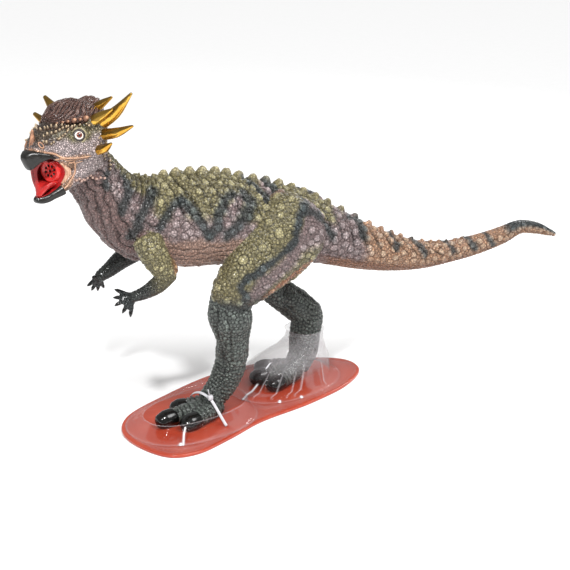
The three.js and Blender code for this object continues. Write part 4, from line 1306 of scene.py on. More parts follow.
def paint_zones(skin):
    """Groove shade, middle and highlight colour for each point."""
    p = skin.points
    x = p[:, 0]
    noise = wobble(p, 8, 4) + 0.5 * wobble(p, 3.5, 5)
    degrees = np.degrees(np.abs(skin.angle))
    body = skin.part("spine")
    centre = skin.tubes["spine"][0].at(skin.station)[0]
    # The trunk's marks are on its near side, and the far side mirrors them.
    mirrored = p.copy()
    mirrored[:, 1] = np.where(body, centre[:, 1] - np.abs(p[:, 1] - centre[:, 1]), p[:, 1])
    # The right leg and arm take their paint from the same place on the left ones.
    for part in ("thigh", "upper"):
        rows = np.nonzero(skin.part(f"{part}_right"))[0]
        mirrored[rows] = skin.tubes[f"{part}_left"][0].surface(skin.station[rows], -skin.angle[rows])
    thigh, shoulder, fore, lower, finger = (
        skin.part(*names).astype(float)
        for names in (("thigh",), ("upper",), ("fore", "finger"), ("shin", "foot", "toe"), ("finger",))
    )

    def marked(area, *marks):
        return [area * line_mask(mirrored, mark, noise) for mark in marks]

    olive_edge = 57 - 60 * smoothstep(52, 66, x)
    tail_side = body * smoothstep(-30, 10, x) * smoothstep(-7, 7, degrees - olive_edge + noise * 4)
    under = body * smoothstep(20, 50, x) * smoothstep(112, 128, degrees + noise * 4)
    neck = body * (1 - smoothstep(-150, -138, x))
    line = np.array(THIGH_DARK[0])
    behind = mirrored[:, 0] - np.interp(mirrored[:, 2], line[::-1, 2], line[::-1, 0])
    elbow = shoulder * smoothstep(-134, -126, mirrored[:, 0] + noise)
    fore_side = np.where(skin.part("fore_right"), x - 9, x)
    layers = [
        (MAUVE, body * smoothstep(70, 84, degrees + noise * 4)),
        (PEACH, body * smoothstep(96, 108, degrees + noise * 3)),
        (TERRA, body * smoothstep(70, 88, x + noise * 4)),
        (MAUVE, tail_side * (1 - smoothstep(70, 88, x))),
        (RUST, under * (1 - smoothstep(170, 230, x))),
        (MAUVE, neck * smoothstep(48, 62, degrees + noise * 5)),
        (BROWN, neck * smoothstep(92, 112, degrees + noise * 5)),
        *((MAUVE, amount) for amount in marked(body, *NEAR_MAUVE.values())),
        *((DARK, amount * 0.92) for amount in marked(body, *NEAR_DARK.values())),
        (DARK, body * smoothstep(246, 258, x + noise * 2) * (1 - smoothstep(60, 100, degrees))),
        *zip((MAUVE, ORANGE, DARK), marked(thigh, THIGH_MAUVE, THIGH_ORANGE, THIGH_DARK)),
        (MAUVE, thigh * smoothstep(4, 8, behind + noise * 2) * smoothstep(172, 184, mirrored[:, 2])),
        (DARK, marked(thigh, NEAR_DARK["f"])[0] * 0.9),
        (PEACH, thigh * smoothstep(-30, -18, mirrored[:, 1])),
        (BLACK, thigh * (1 - smoothstep(126, 140, mirrored[:, 2] + noise * 3))),
        (BLACK, lower),
        (OLIVE, shoulder * (1 - smoothstep(168, 186, mirrored[:, 2] + noise * 3))),
        (ORANGE, elbow * (1 - smoothstep(186, 196, mirrored[:, 2]))),
        (OLIVE, fore),
        (BLACK, fore * (1 - smoothstep(-160, -136, fore_side + noise * 2))),
        (DARK, finger * 0.8),
    ]
    return lay(np.repeat(tones(OLIVE), len(p), 0), layers + head_layers(skin, noise))


def head_layers(skin, noise):
    h = skin.head
    x, y, z = h[:, 0], np.abs(h[:, 1]), h[:, 2]
    folded = np.stack([x, y, z], 1)
    head = skin.part("skull", "jaw", "collar").astype(float)
    eye = np.linalg.norm(folded - np.array(EYE_AT), axis=1)
    return [
        (LILAC, head),
        (OLIVE, head * smoothstep(2, 9, z + noise * 1.5) * 0.85),
        (OLIVE, head * (1 - smoothstep(9, 15, eye + noise)) * smoothstep(-2, 4, z)),
        (SNOUT, head * smoothstep(8, 13, z - 0.1 * x + noise) * (1 - smoothstep(16, 20, y))),
        (SNOUT, head * smoothstep(24, 32, x) * smoothstep(-1, 3, z) * 0.8),
        (OLIVE, head * (1 - smoothstep(-26, -16, x)) * smoothstep(4, 12, z)),
        (LIP, head * (1 - smoothstep(1.2, 2.4, line_distance(folded, LIP_LINE)))),
        (LIP, head * membrane(h)),
        (LIP, head * (1 - smoothstep(1.5, 3.0, line_distance(folded, JAW_RIM)))),
    ]


JAW_RIM = [[14, 24, -14], [12, 22, -22], [16, 19, -32], [22, 17, -38], [28, 15, -42]]


def shade_paint(skin, paint, rise, own, seeds):
    """Painted shade in the grooves, lighter tops that are partly dry-brushed paint and partly painted highlight, and a
    little different on each scale.
    """
    local = np.random.default_rng(5)
    kind = np.array(seeds.kind)[own]
    vary = local.normal(0, 1, len(seeds.at))[own]
    light = smoothstep(0.6, 1.0, rise) * (0.1 + 0.72 * kind) * (0.8 + 0.25 * wobble(skin.points, 3, 9))
    groove_shade = (1 - smoothstep(0.02, 0.55, rise)) * (0.55 + 0.45 * kind)
    colour = paint[:, 1] + (paint[:, 2] - paint[:, 1]) * np.clip(light, 0, 1)[:, None]
    colour = colour + (paint[:, 0] - colour) * np.clip(groove_shade * 0.92, 0, 1)[:, None]
    return np.clip(colour * (1 + 0.07 * vary)[:, None], 0.0, 1)


def make_skin():
    tubes = flesh_tubes()
    skin_object = flesh_object(tubes, VOXEL)
    points = read_points(skin_object.data) / MM
    _, _, _, best, second = nearest_tubes(points, tubes)
    smooth_creases(skin_object, points, best, second)
    mesh = skin_object.data
    points = read_points(mesh) / MM
    normals = read_points(mesh, "normal")
    skin = Skin(points, tubes)
    seeds = lay_seeds(skin)
    relief, rise, own = scale_relief(points, seeds)
    knobs = knob_relief(skin)
    inside = head_hollow(skin.head)
    web = membrane(skin.head) * skin.part("skull", "jaw", "collar")
    folds = fold_relief(skin)
    relief = relief * (1 - 0.75 * skin.part("toe"))
    lift = (relief - 0.4) * (1 - inside) * (1 - web) + knobs + (folds + head_relief(skin)) * (1 - inside)
    sole = 1 - smoothstep(4, 8, points[:, 2])
    lift *= 1 - sole
    moved = points + normals * lift[:, None]
    moved[:, 2] = np.maximum(moved[:, 2], SOLE_Z)
    mesh.vertices.foreach_set("co", (moved * MM).astype(np.float32).ravel())
    paint = paint_zones(skin)
    colour = shade_paint(skin, paint, np.maximum(rise, smoothstep(0.6, 2.0, knobs)), own, seeds)
    degrees = np.degrees(np.abs(skin.angle))
    calm = skin.part("spine") * smoothstep(94, 108, degrees)
    colour = colour + (paint[:, 1] - colour) * (calm * 0.7)[:, None]
    # Painted shade: darker in the folds and creases, but not on the knobs.
    crease = smoothstep(0.25, 1.5, -folds) * (1 - smoothstep(1.0, 3.0, knobs))
    colour = colour * (1 - 0.62 * crease)[:, None]
    colour = colour + (paint[:, 1] - colour) * (web * 0.8)[:, None]
    # Pale caps on the knobs' tops: partly dry-brushed paint and partly painted highlight.
    top = smoothstep(2.4, 6.0, knobs)
    pale = paint[:, 2] + (linear(196, 182, 144) - paint[:, 2]) * 0.55
    colour = colour + (pale - colour) * (top * 0.8)[:, None]
    colour = colour + (linear(120, 20, 22) - colour) * inside[:, None]
    write_values(mesh, "paint", colour)
    grain = smoothstep(0.3, 0.7, skin.part("skull", "jaw", "collar") + 0.8 * skin.part("fore", "finger"))
    write_values(mesh, "grain", grain)
    triangles = len(mesh.polygons) * 2
    if triangles > MOST_TRIANGLES:
        thin = skin_object.modifiers.new("thin", "DECIMATE")
        thin.ratio = MOST_TRIANGLES / triangles
        thin.use_collapse_triangulate = True
        apply_modifiers(skin_object)
    mesh = skin_object.data
    mesh.polygons.foreach_set("use_smooth", [True] * len(mesh.polygons))
    flesh = ["head", "neck", "torso", "tail_base", "tail_middle", "tail_rear", "tail_tip"]
    for side, _ in SIDES:
        flesh += [f"{part}_{side}" for part in ("thigh", "shin", "foot", "upper_arm", "forearm")]
    finish_piece(skin_object, painted_material("painted_skin"), "olive_skin", *flesh)
    return skin_object


def head_hollow(h):
    """1 inside the mouth's hollow, 0 outside."""
    _, _, height = Tube(MOUTH).locate(h)
    near = (h[:, 0] > 16) & (h[:, 0] < 60)
    return (1 - smoothstep(0.3, 1.2, height)) * near


# Head pieces
def make_dome():
    points, poles = head_tube(DOME).grid(180, 110, start=5, end=3, steps=8)
    rows, sides, _ = points.shape
    local = to_head(points.reshape(-1, 3))
    angle = np.arctan2(local[:, 1], local[:, 2] - 20)
    out = unit(local - np.array([-8, 0, 16.0]))
    warp = wobble(local, 9, 2) * 0.2 + wobble(local, 3, 3) * 0.02
    sweep = angle + warp - 0.03 * np.tanh(local[:, 1] / 5) * local[:, 0]
    furrow = np.abs(np.sin(15 * sweep))
    fine = np.abs(np.sin(47 * (sweep + 0.3 * warp)))
    upper = smoothstep(14, 22, local[:, 2])
    lift = -1.0 * bell(furrow, 0.26) - 0.3 * bell(fine, 0.45) + 0.25 * wobble(local, 3.4, 6)
    rear = smoothstep(-20, -31, local[:, 0]) * smoothstep(15, 24, local[:, 2])
    ruffle = 0.55 + 0.45 * np.sin(9 * angle + 1.2 * warp)
    moved = local + out * (lift * upper)[:, None]
    moved[:, 2] += rear * (5.0 * ruffle + 1.0)
    moved[:, 0] -= rear * 2.6 * ruffle
    dome = make_object("dome_skin", *closed_mesh(to_world(moved).reshape(rows, sides, 3), poles))
    # Painted shade in the furrows and painted highlights on the crests between them.
    line = bell(furrow, 0.26) * 0.95 + bell(fine, 0.4) * 0.45
    low, mid, high = linear(18, 10, 9), linear(90, 54, 45), linear(196, 160, 146)
    colour = mid + (low - mid) * np.clip(line, 0, 1)[:, None]
    crest_highlight = smoothstep(0.6, 1.0, fine) * smoothstep(0.4, 0.9, furrow) * 0.6 * (1 + 0.9 * wobble(local, 4, 8))
    colour = colour + (high - colour) * np.clip(crest_highlight, 0, 1)[:, None]
    colour = colour + (linear(142, 100, 84) - colour) * np.clip(rear * ruffle * 0.45, 0, 1)[:, None]
    write_values(dome.data, "paint", np.vstack([colour, colour[:1], colour[-1:]]))
    finish_piece(dome, painted_material("painted_dome", (0.2, 0.36), 700.0, 900.0, 0.25), "dome_skin", "dome")


# Knobs round the dome's edge: place in the head's axes, and radius
RIM_KNOBS = [
    ((19, 11, 19), 1.2), ((15, 14, 19.3), 1.4), ((11, 16.5, 19.6), 1.6), ((6, 19, 20), 2.5), ((1, 21.6, 20), 1.5),
    ((-4, 23.6, 20.4), 2.8), ((-9, 25, 19.8), 1.7), ((-14, 26, 19.6), 2.5),
]
# Height and width of each ring of a small scale, with how pale it is there
CONE_PROFILE = [(-0.25, 1.1, 0.0), (0.0, 1.0, 0.0), (0.35, 0.78, 0.15), (0.7, 0.5, 0.6), (0.92, 0.25, 1.0)]


def cone_mesh(place, direction, radius, height, sides=10, blunt=0.35):
    """A small blunt scale standing at a place."""
    direction = unit(np.asarray(direction, float))
    across = unit(np.cross(direction, [0.3, 0.5, 0.81]))
    over = np.cross(direction, across)
    profile = [(at, wide) for at, wide, _ in CONE_PROFILE[:-1]] + [(CONE_PROFILE[-1][0], blunt * 0.7)]
    turn = full_turn(sides)
    ring = np.cos(turn)[:, None] * across + np.sin(turn)[:, None] * over
    points = np.array([place + direction * height * h + ring * radius * r for h, r in profile])
    poles = (place - direction * height * 0.25, place + direction * height)
    return closed_mesh(points, poles)


def surface_of(skin_object):
    points = read_points(skin_object.data) / MM
    return points, read_points(skin_object.data, "normal"), tree_of(points.tolist())


# Rows of pointed scales over the eyes and snout and behind the cheeks: line, count, radius and height
BROW_ROWS = [
    ([(36, 11, 5), (34, 14, 4), (30, 17, 4), (26, 18, 6), (22, 18.5, 7), (19, 19, 9), (15, 18.5, 12), (11, 20, 14),
      (6, 22, 15.5), (0, 24, 15.5), (-6, 26, 14)], 15, 1.2, 2.4),
    ([(31, 3, 14), (28, 6.5, 15), (26, 9, 15), (23, 12, 16), (18, 15, 17)], 6, 1.25, 2.6),
    ([(33, 8, 9), (28, 12, 11), (23, 15, 13), (18, 17.5, 14.5), (12, 19, 17)], 8, 1.2, 2.2),
    ([(-14, 30, 3), (-19, 29, -2), (-22, 27.5, -9)], 5, 1.3, 2.0),
    ([(-28, 22, -16), (-30, 20, -24), (-27, 20, -31)], 5, 1.3, 1.8),
    ([(-12, 30, -4), (-16, 29, -14), (-22, 25, -22)], 5, 1.1, 1.4),
]
PEARL_LINE = [(11.8, 19.4, -33.1), (4.2, 18.1, -34.7), (-3.1, 17, -34.1), (-10.6, 18.6, -35.6), (-20.2, 21.2, -38.2)]


def scale_piece(name, cones, sides, material, low, high):
    """One piece of many scales, with how pale each of its points is."""
    piece = joined(name, cones)
    tips = [pale for _, _, pale in CONE_PROFILE for _ in range(sides)] + [0.0, 1.0]
    write_values(piece.data, "tip", np.array(tips * len(cones)))
    finish_piece(piece, scale_material(material, low, high, tipped=True), "tan_horn")
    patch_uv(piece)


def make_scales(surface):
    """Pointed scales over the eyes and snout, knobs round the dome and pearls under the cheek."""
    points, normals, tree = surface
    brow, rim, pearls = [], [], []
    for line, count, radius, height in BROW_ROWS:
        for at in spline(line, np.linspace(0, len(line) - 1, count)):
            for _, mirror in SIDES:
                _, index, _ = tree.find(on_side(at, mirror))
                lean = unit(normals[index] + 0.35 * HEAD_AXES @ np.array([-0.4, 0, 0.8]))
                size = RNG.uniform(0.8, 1.15)
                brow.append(cone_mesh(points[index], lean, radius * size * 1.2, height * size * 1.4))
    for at, wide in RIM_KNOBS:
        for _, mirror in SIDES:
            lean = HEAD_AXES @ unit(np.array([0.1, 0.8 * mirror, 0.35]))
            size = RNG.uniform(0.92, 1.08)
            rim.append(cone_mesh(on_side(at, mirror), lean, wide * size, wide * 1.15 * size, 16, 0.75))
    for at in spline(PEARL_LINE, np.linspace(0, len(PEARL_LINE) - 1, 11)):
        for _, mirror in SIDES:
            _, index, _ = tree.find(on_side(at, mirror))
            lean = unit(normals[index] + 0.8 * HEAD_AXES @ np.array([0, mirror, 0.2]))
            spot = points[index] + np.array([0, 0, RNG.uniform(-1.0, 1.4)])
            pearls.append(cone_mesh(spot, lean, RNG.uniform(1.2, 2.1), 1.7, 16, 0.8))
    scale_piece("brow_scales", brow, 10, "pale_scales", (62, 44, 33), (200, 178, 146))
    scale_piece("rim_knobs", rim, 16, "tan_knobs", (90, 56, 42), (182, 138, 110))
    scale_piece("jaw_pearls", pearls, 16, "pale_pearls", (104, 74, 66), (190, 160, 146))


def patch_uv(piece):
    """A small patch of the bake map for each scale, at its own place."""
    mesh = piece.data
    layer = mesh.uv_layers.new(name="OFBake")
    points = read_points(mesh)
    low, high = points.min(0), points.max(0)
    span = (high - low).max()
    loops = np.empty(len(mesh.loops), int)
    mesh.loops.foreach_get("vertex_index", loops)
    bm = bmesh.new()
    bm.from_mesh(mesh)
    bm.verts.ensure_lookup_table()
    root = np.full(len(bm.verts), -1)
    starts = []
    for vert in bm.verts:
        if root[vert.index] >= 0:
            continue
        island = len(starts)
        starts.append(points[vert.index])
        stack = [vert]
        root[vert.index] = island
        while stack:
            for edge in stack.pop().link_edges:
                for other in edge.verts:
                    if root[other.index] < 0:
                        root[other.index] = island
                        stack.append(other)
    bm.free()
    starts = np.array(starts)
    order = np.lexsort((starts[:, 0], starts[:, 1] > HEAD_AT[1] * MM))
    column = math.ceil(math.sqrt(len(starts)))
    spot = np.empty((len(starts), 2))
    for n, i in enumerate(order):
        spot[i] = ((n % column + 0.5) / column, (n // column + 0.5) / column)
    local = (points - starts[root]) / span * 0.4
    uv = spot[root] + np.stack([local[:, 0], local[:, 2]], 1) * (0.6 / column / 0.02)
    uv = np.clip(uv, spot[root] - 0.45 / column, spot[root] + 0.45 / column)
    layer.data.foreach_set("uv", uv[loops].astype(np.float32).ravel())


def fluted(tube, sides, rings, end, steps, deep, count, swirl):
    """A tube with flutes that fade towards its tip."""
    points, poles = tube.grid(sides, rings, end=end, steps=steps)
    rows = len(points)
    centre = points.mean(1, keepdims=True)
    wave = np.sin(full_turn(sides) * count + np.linspace(0, swirl, rows)[:, None])
    flute = 1 + deep * wave * np.linspace(1, 0.2, rows)[:, None]
    return closed_mesh(centre + (points - centre) * flute[..., None], poles)


def make_horns():
    material = horn_material()
    for side, mirror in SIDES:
        for name in HORNS:
            line, radii = horn_line(name, side, mirror)
            tube = head_tube([[*at, r, r * 1.06, r * 0.94] for at, r in zip(line, radii)])
            horn = make_object(f"gold_horn_{name}_{side}", *fluted(tube, 36, 44, 1.3, 4, 0.035, 5, 1.6))
            finish_piece(horn, material, "gold_horn", f"horn_{name}_{side}")
    horn = make_object("nose_horn_piece", *fluted(head_tube(NOSE_HORN, FORWARD), 40, 40, 1.2, 5, 0.09, 7, 0))
    finish_piece(horn, scale_material("horn_tan", (98, 62, 46), (184, 136, 106)), "tan_horn", "nose_horn")


def make_beaks():
    gloss = moulded_material("black_gloss", linear(18, 17, 14), 0.3, 0.4, 260.0, 0.5)
    hollow = tube_object("hollow", head_tube(BEAK_HOLLOW), 64, 40, out=0.3, end=1.5)
    for name, stations in (("upper_beak", UPPER_BEAK), ("lower_beak", LOWER_BEAK)):

        def uneven(local):
            out = unit(local - np.array([30, 0, stations[1][2]]))
            return local + out * (0.3 * wobble(local, 9, 12) + 0.1 * wobble(local, 4, 13))[:, None]

        points, poles = head_tube(stations).grid(96, 64, end=1.2, steps=6, square=3.0)
        beak = make_object(f"{name}_piece", *closed_mesh(reshaped(points, uneven), poles))
        cut(beak, hollow)
        finish_piece(beak, gloss, "black_claw", name)
    discard(hollow)


def lining_limit(local):
    """How far forward the red lining reaches, in the head's axes: to the lip, and inside the lower beak's rim."""
    y, z = local[:, 1], local[:, 2]
    left = 25.5 - 5 * bell(z + 24, 8)
    left = np.where(z < -34, np.interp(-z, [34, 35.5, 39.8, 43, 44.6], [23.4, 24.4, 30, 35, 43.0]), left)
    right = np.interp(-z, [14, 41, 43, 45], [36.3, 36.3, 40, 43.0])
    edge = left + (right - left) * smoothstep(2, -8, y)
    return np.where(z > -14.5, 31.5, edge)


def make_webs():
    """Soft skin outside the lining, from the corners of the mouth to the edge of the red."""
    tube = head_tube(MOUTH)
    stations = np.linspace(0, 2.8, 40)
    for side, mirror in SIDES:
        turn = -mirror * np.radians(np.linspace(52, 128, 40))
        sheets = []
        for out in (0.35, 1.5):
            rings = []
            for s in stations:
                local = to_head(tube.surface(np.full(len(turn), s), turn, out))
                local[:, 0] = np.minimum(local[:, 0] - 3.5 * (1 - s / 2.8), lining_limit(local) - 0.5)
                fold = 0.3 * np.sin(local[:, 0] * 2.3 + 0.25 * local[:, 2])
                local[:, 1] += np.sign(local[:, 1]) * fold * (out > 1)
                rings.append(to_world(local))
            sheets.append(np.array(rings))
        rows, count, _ = sheets[0].shape
        verts = np.vstack([sheet.reshape(-1, 3) for sheet in sheets])
        faces = grid_faces(rows, count, 0, closed=False)
        faces += [tuple(reversed(face)) for face in grid_faces(rows, count, rows * count, closed=False)]
        border = list(range(count)) + [r * count + count - 1 for r in range(1, rows)]
        border += [(rows - 1) * count + i for i in range(count - 2, -1, -1)]
        border += [r * count for r in range(rows - 2, 0, -1)]
        for a, b in zip(border, border[1:] + border[:1]):
            faces.append((a, b, b + rows * count, a + rows * count))
        web = make_object(f"mouth_web_{side}", verts, faces)
        finish_piece(web, scale_material(f"web_peach_{side}", (166, 122, 98), (212, 172, 144)), "lilac_skin")


def fold_tube(points, radii):
    stations = [[*at, r, r, r] for at, r in zip(points, radii)]
    return closed_mesh(*Tube(stations).grid(12, 60, end=0.4, start=0.4, steps=3))


# Folds of the lips, from the beak back past the corners of the mouth: line, and radius at its start and end
LIP_FOLDS = [
    ([(38, 13, -3.5), (34, 15.5, -6.5), (28, 18, -9.5), (24, 19.5, -11), (15, 23, -12), (6, 25.5, -12),
      (-2, 27.5, -13)], 1.15, 0.5),
    ([(30, 17, -11), (24, 18.5, -13.2), (16, 21, -14.6), (8, 24, -15), (1, 26, -15.5)], 0.8, 0.4),
    ([(16, 21, -17), (11, 22, -17.4), (5, 24, -17.6)], 0.55, 0.3),
    ([(13, 21.5, -15.5), (10.5, 20, -20), (12, 19, -26), (16, 18, -32), (20, 17.5, -36), (26, 16, -41)], 0.9, 0.7),
]


def make_lips(surface):
    points, normals, tree = surface
    for side, mirror in SIDES:
        folds = []
        for line, start, end in LIP_FOLDS:
            spots = []
            for at in spline(line, np.linspace(0, len(line) - 1, 14)):
                place = on_side(at, mirror)
                _, index, distance = tree.find(place)
                spots.append(points[index] + normals[index] * 0.1 if distance < 4 else place)
            spots = np.array(spots)
            spots[1:-1] = (spots[:-2] + 2 * spots[1:-1] + spots[2:]) / 4
            folds.append(fold_tube(spots, np.linspace(start, end, len(spots))))
        lips = joined(f"lip_folds_{side}", folds)
        finish_piece(lips, scale_material(f"lip_peach_{side}", (146, 106, 84), (202, 162, 132)), "lilac_skin")


def make_lining():
    """The red lining: a cup just inside the mouth's hollow."""
    tube = head_tube(MOUTH)
    turn = full_turn(96)
    shells = []
    for out, back in ((-0.3, 18.3), (-1.9, 20.0)):
        rings = []
        for s in np.linspace(0, 4.5, 72):
            local = to_head(tube.surface(np.full(len(turn), s), turn, out))
            local[:, 0] = np.minimum(local[:, 0], lining_limit(local)) if rings else back
            rings.append(to_world(local))
        shells.append(np.array(rings))
    outer, inner = shells
    rows, sides, _ = outer.shape
    middles = to_world([[18.3, 0, -24], [20.0, 0, -24]])
    verts = np.vstack([outer.reshape(-1, 3), inner.reshape(-1, 3), middles])
    count = rows * sides
    last = count - sides
    faces = grid_faces(rows, sides) + [tuple(reversed(face)) for face in grid_faces(rows, sides, count)]
    for i in range(sides):
        j = (i + 1) % sides
        faces.append((last + i, last + j, count + last + j, count + last + i))
        faces.append((j, i, 2 * count))
        faces.append((count + i, count + j, 2 * count + 1))
    lining = make_object("mouth_lining_piece", verts, faces)
    # Darker than the grille's red: the lining's own red, darkened as painted shade inside the mouth.
    deep = moulded_material("mouth_red_shaded", linear(160, 28, 30), 0.32, 0.16, 150.0, 0.1, 0.2)
    finish_piece(lining, deep, "mouth_red", "mouth_lining")


# Radius and height of each ring of the grille's disc
GRILLE_PROFILE = [(6.9, 5.2), (7.3, 5.5), (8.0, 6.2), (9.4, 6.3), (10.3, 5.8), (10.9, 4.8), (11, 3.6), (11, 0)]
SWING = math.radians(GRILLE_SWING)
GRILLE_AXES = np.array([[math.cos(SWING), -math.sin(SWING), 0], [math.sin(SWING), math.cos(SWING), 0], [0, 0, 1]])


def on_grille(points):
    return to_world(np.asarray(points, float) @ GRILLE_AXES.T + np.array(GRILLE_AT, float))


def grille_rings(sides, rings, y=0.0, z=0.0):
    """A closed form of rings in front of the grille, each with its radius and height."""
    turn = full_turn(sides)
    points = [np.column_stack([np.full(sides, h), y + r * np.cos(turn), z + r * np.sin(turn)]) for r, h in rings]
    return on_grille(np.array(points).reshape(-1, 3)).reshape(len(rings), sides, 3)


def make_grille():
    """A raised disc, turned a little to the animal's left, with a ring of holes about a middle one."""
    poles = on_grille([[5.2, 0, 0], [0, 0, 0]])
    disc = make_object("grille_disc", *closed_mesh(grille_rings(72, GRILLE_PROFILE), poles))
    turns = [i * math.pi / 4 + 0.2 for i in range(8)]
    holes = [(0.0, 0.0)] + [(GRILLE_RING * math.cos(turn), GRILLE_RING * math.sin(turn)) for turn in turns]
    pins = [closed_mesh(grille_rings(24, ((HOLE_RADIUS, 1.0), (HOLE_RADIUS, 9.0)), y, z),
                        on_grille([[1.0, y, z], [9.0, y, z]])) for y, z in holes]
    tool = joined("pins", pins)
    cut(disc, tool)
    discard(tool)
    red = moulded_material("mouth_red", linear(206, 44, 42), 0.26, 0.14, 150.0, 0.1, 0.3)
    finish_piece(disc, red, "mouth_red", "speaker_grille")
    # Near-black walls in the holes: painted shade inside them.
    disc.data.materials.append(moulded_material("grille_hole_shade", linear(40, 8, 9), 0.5, 0.3, 300.0, 0.1))
    centres = np.empty(len(disc.data.polygons) * 3)
    disc.data.polygons.foreach_get("center", centres)
    local = (to_head(centres.reshape(-1, 3) / MM) - np.array(GRILLE_AT, float)) @ GRILLE_AXES
    for polygon, (depth, y, z) in zip(disc.data.polygons, local):
        near = min(math.hypot(y - hole[0], z - hole[1]) for hole in holes)
        if near < HOLE_RADIUS * 1.02 and 0.5 < depth < 5.1:
            polygon.material_index = 1


def make_tongue():
    """A tongue with a low middle groove and rolled edges."""

    def roll(local):
        y = local[:, 1]
        local[:, 2] += smoothstep(-39, -35.5, local[:, 2]) * (2.0 * (np.abs(y) / 9) ** 2 - 1.6 * bell(y, 2.4))
        local[:, 2] += 1.2 * smoothstep(4, 9, np.abs(y)) + 0.6 * wobble(local, 6, 14)
        return local

    points, poles = head_tube(TONGUE).grid(48, 40, start=3, end=3, steps=6)
    tongue = make_object("tongue_piece", *closed_mesh(reshaped(points, roll), poles))
    red = moulded_material("tongue_red", linear(176, 36, 35), 0.24, 0.16, 150.0, 0.15, 0.4)
    finish_piece(tongue, red, "mouth_red", "tongue")


def bead_mesh(centre, outward, facing, thick, sides):
    """A closed bead round a centre: its line runs through centre + outward, and thick is its radius there."""
    small = full_turn(sides)
    rings = [centre + reach + radius * (np.cos(small)[:, None] * unit(reach) + np.sin(small)[:, None] * facing)
             for reach, radius in zip(outward, thick)]
    faces = grid_faces(len(rings) + 1, sides)
    return np.array(rings), [tuple(v % (len(rings) * sides) for v in face) for face in faces]


# Angles from the eye's middle at which its rings lie, closer at the edges of the pupil and of the iris
PUPIL_EDGE = 12
IRIS_EDGE = 29
EYE_RINGS = [4, 7, 11.9, 12.1, 15, 21, 28.9, 29.1, 33, 39, 48, 58, 70, 86, 104, 124, 146, 166]


def make_eyes():
    white = moulded_material("eye_white", linear(236, 232, 222), 0.12, 0.05, 60.0, 0.02, 1.0)
    iris = moulded_material("eye_iris", linear(110, 44, 20), 0.1, 0.35, 900.0, 0.02, 1.0)
    pupil = moulded_material("eye_pupil", (0.012, 0.010, 0.010), 0.08, 0.1, 60.0, 0.02, 1.0)
    lid_dark = moulded_material("lid_dark", linear(44, 38, 36), 0.45, 0.3, 500.0, 0.3)
    centre = np.array(EYE_AT) + np.array([0.3, 0, -1.4])
    turn = full_turn(48)
    round_eye = np.cos(turn)[:, None] * EYE_ACROSS + np.sin(turn)[:, None] * EYE_OVER
    for side, mirror in SIDES:
        flip = np.array([1, mirror, 1])
        rings = []
        for degree in EYE_RINGS:
            a = math.radians(degree)
            bulge = EYE_RADIUS * (1.03 if degree < IRIS_EDGE else 1.0)
            rings.append(centre + (math.sin(a) * round_eye + math.cos(a) * EYE_FRONT) * bulge)
        points = np.array(rings) * flip
        poles = to_world([(centre + EYE_FRONT * EYE_RADIUS * 1.03) * flip, (centre - EYE_FRONT * EYE_RADIUS) * flip])
        eye = make_object(f"eye_ball_{side}", *closed_mesh(to_world(points), poles))
        finish_piece(eye, white, "eye_gloss", f"eye_{side}")
        eye.data.materials.append(iris)
        eye.data.materials.append(pupil)
        middle = Vector(on_side(centre, mirror) * MM)
        axis = Vector(HEAD_AXES @ (EYE_FRONT * flip))
        for polygon in eye.data.polygons:
            degree = math.degrees((polygon.center - middle).angle(axis))
            polygon.material_index = 2 if degree < PUPIL_EDGE else 1 if degree < IRIS_EDGE else 0
        beads = []
        # The lid's dark bead is partly its own colour and, where it thickens at the top, partly painted shade under the
        # brow.
        for major, minor, lift, squash in ((4.5, 1.0, 2.7, 0.94), (6.3, 0.9, 1.5, 1.0)):
            outward = [(math.cos(t) * EYE_ACROSS + math.sin(t) * EYE_OVER * squash) * major for t in turn]
            thick = minor * (1.0 + 0.6 * np.maximum(np.sin(turn - 0.6), 0))
            rings, faces = bead_mesh(centre + EYE_FRONT * lift, outward, EYE_FRONT, thick, 14)
            beads.append((to_world((rings * flip).reshape(-1, 3)), faces))
        finish_piece(joined(f"eye_lid_{side}", beads[:1]), lid_dark, "dark_skin")
        bag = joined(f"eye_fold_{side}", beads[1:])
        finish_piece(bag, scale_material(f"fold_{side}", (96, 84, 60), (150, 140, 108)), "lilac_skin")


def make_nostrils(surface):
    points, normals, tree = surface
    turn = full_turn(32)
    rims, slits = [], []
    for _, mirror in SIDES:
        _, index, _ = tree.find(on_side((39, 9.5, 2.5), mirror))
        at, normal = points[index], normals[index]
        across = unit(np.cross(normal, HEAD_AXES @ np.array([0.5, 0, 0.85])))
        over = np.cross(normal, across)
        outward = [math.cos(t) * across * 1.5 + math.sin(t) * over * 3.0 for t in turn]
        rings, faces = bead_mesh(at, outward, normal, np.full(len(turn), 0.7), 12)
        rims.append((rings.reshape(-1, 3), faces))
        edge = np.array([math.cos(t) * across * 1.3 + math.sin(t) * over * 2.7 for t in turn])
        slit = at + np.array([edge - normal * 0.8, edge, normal * 0.35 + edge * 0.6])
        slits.append(closed_mesh(slit, (at - normal * 0.8, at + normal * 0.3)))
    tan = scale_material("nostril_tan", (112, 76, 56), (178, 134, 106))
    finish_piece(joined("nostril_rims", rims), tan, "tan_horn")
    # A near-black fill in each nostril: painted shade inside the opening.
    dark = moulded_material("nostril_shade", (0.01, 0.008, 0.008), 0.5)
    finish_piece(joined("nostril_slits", slits), dark, "dark_skin")


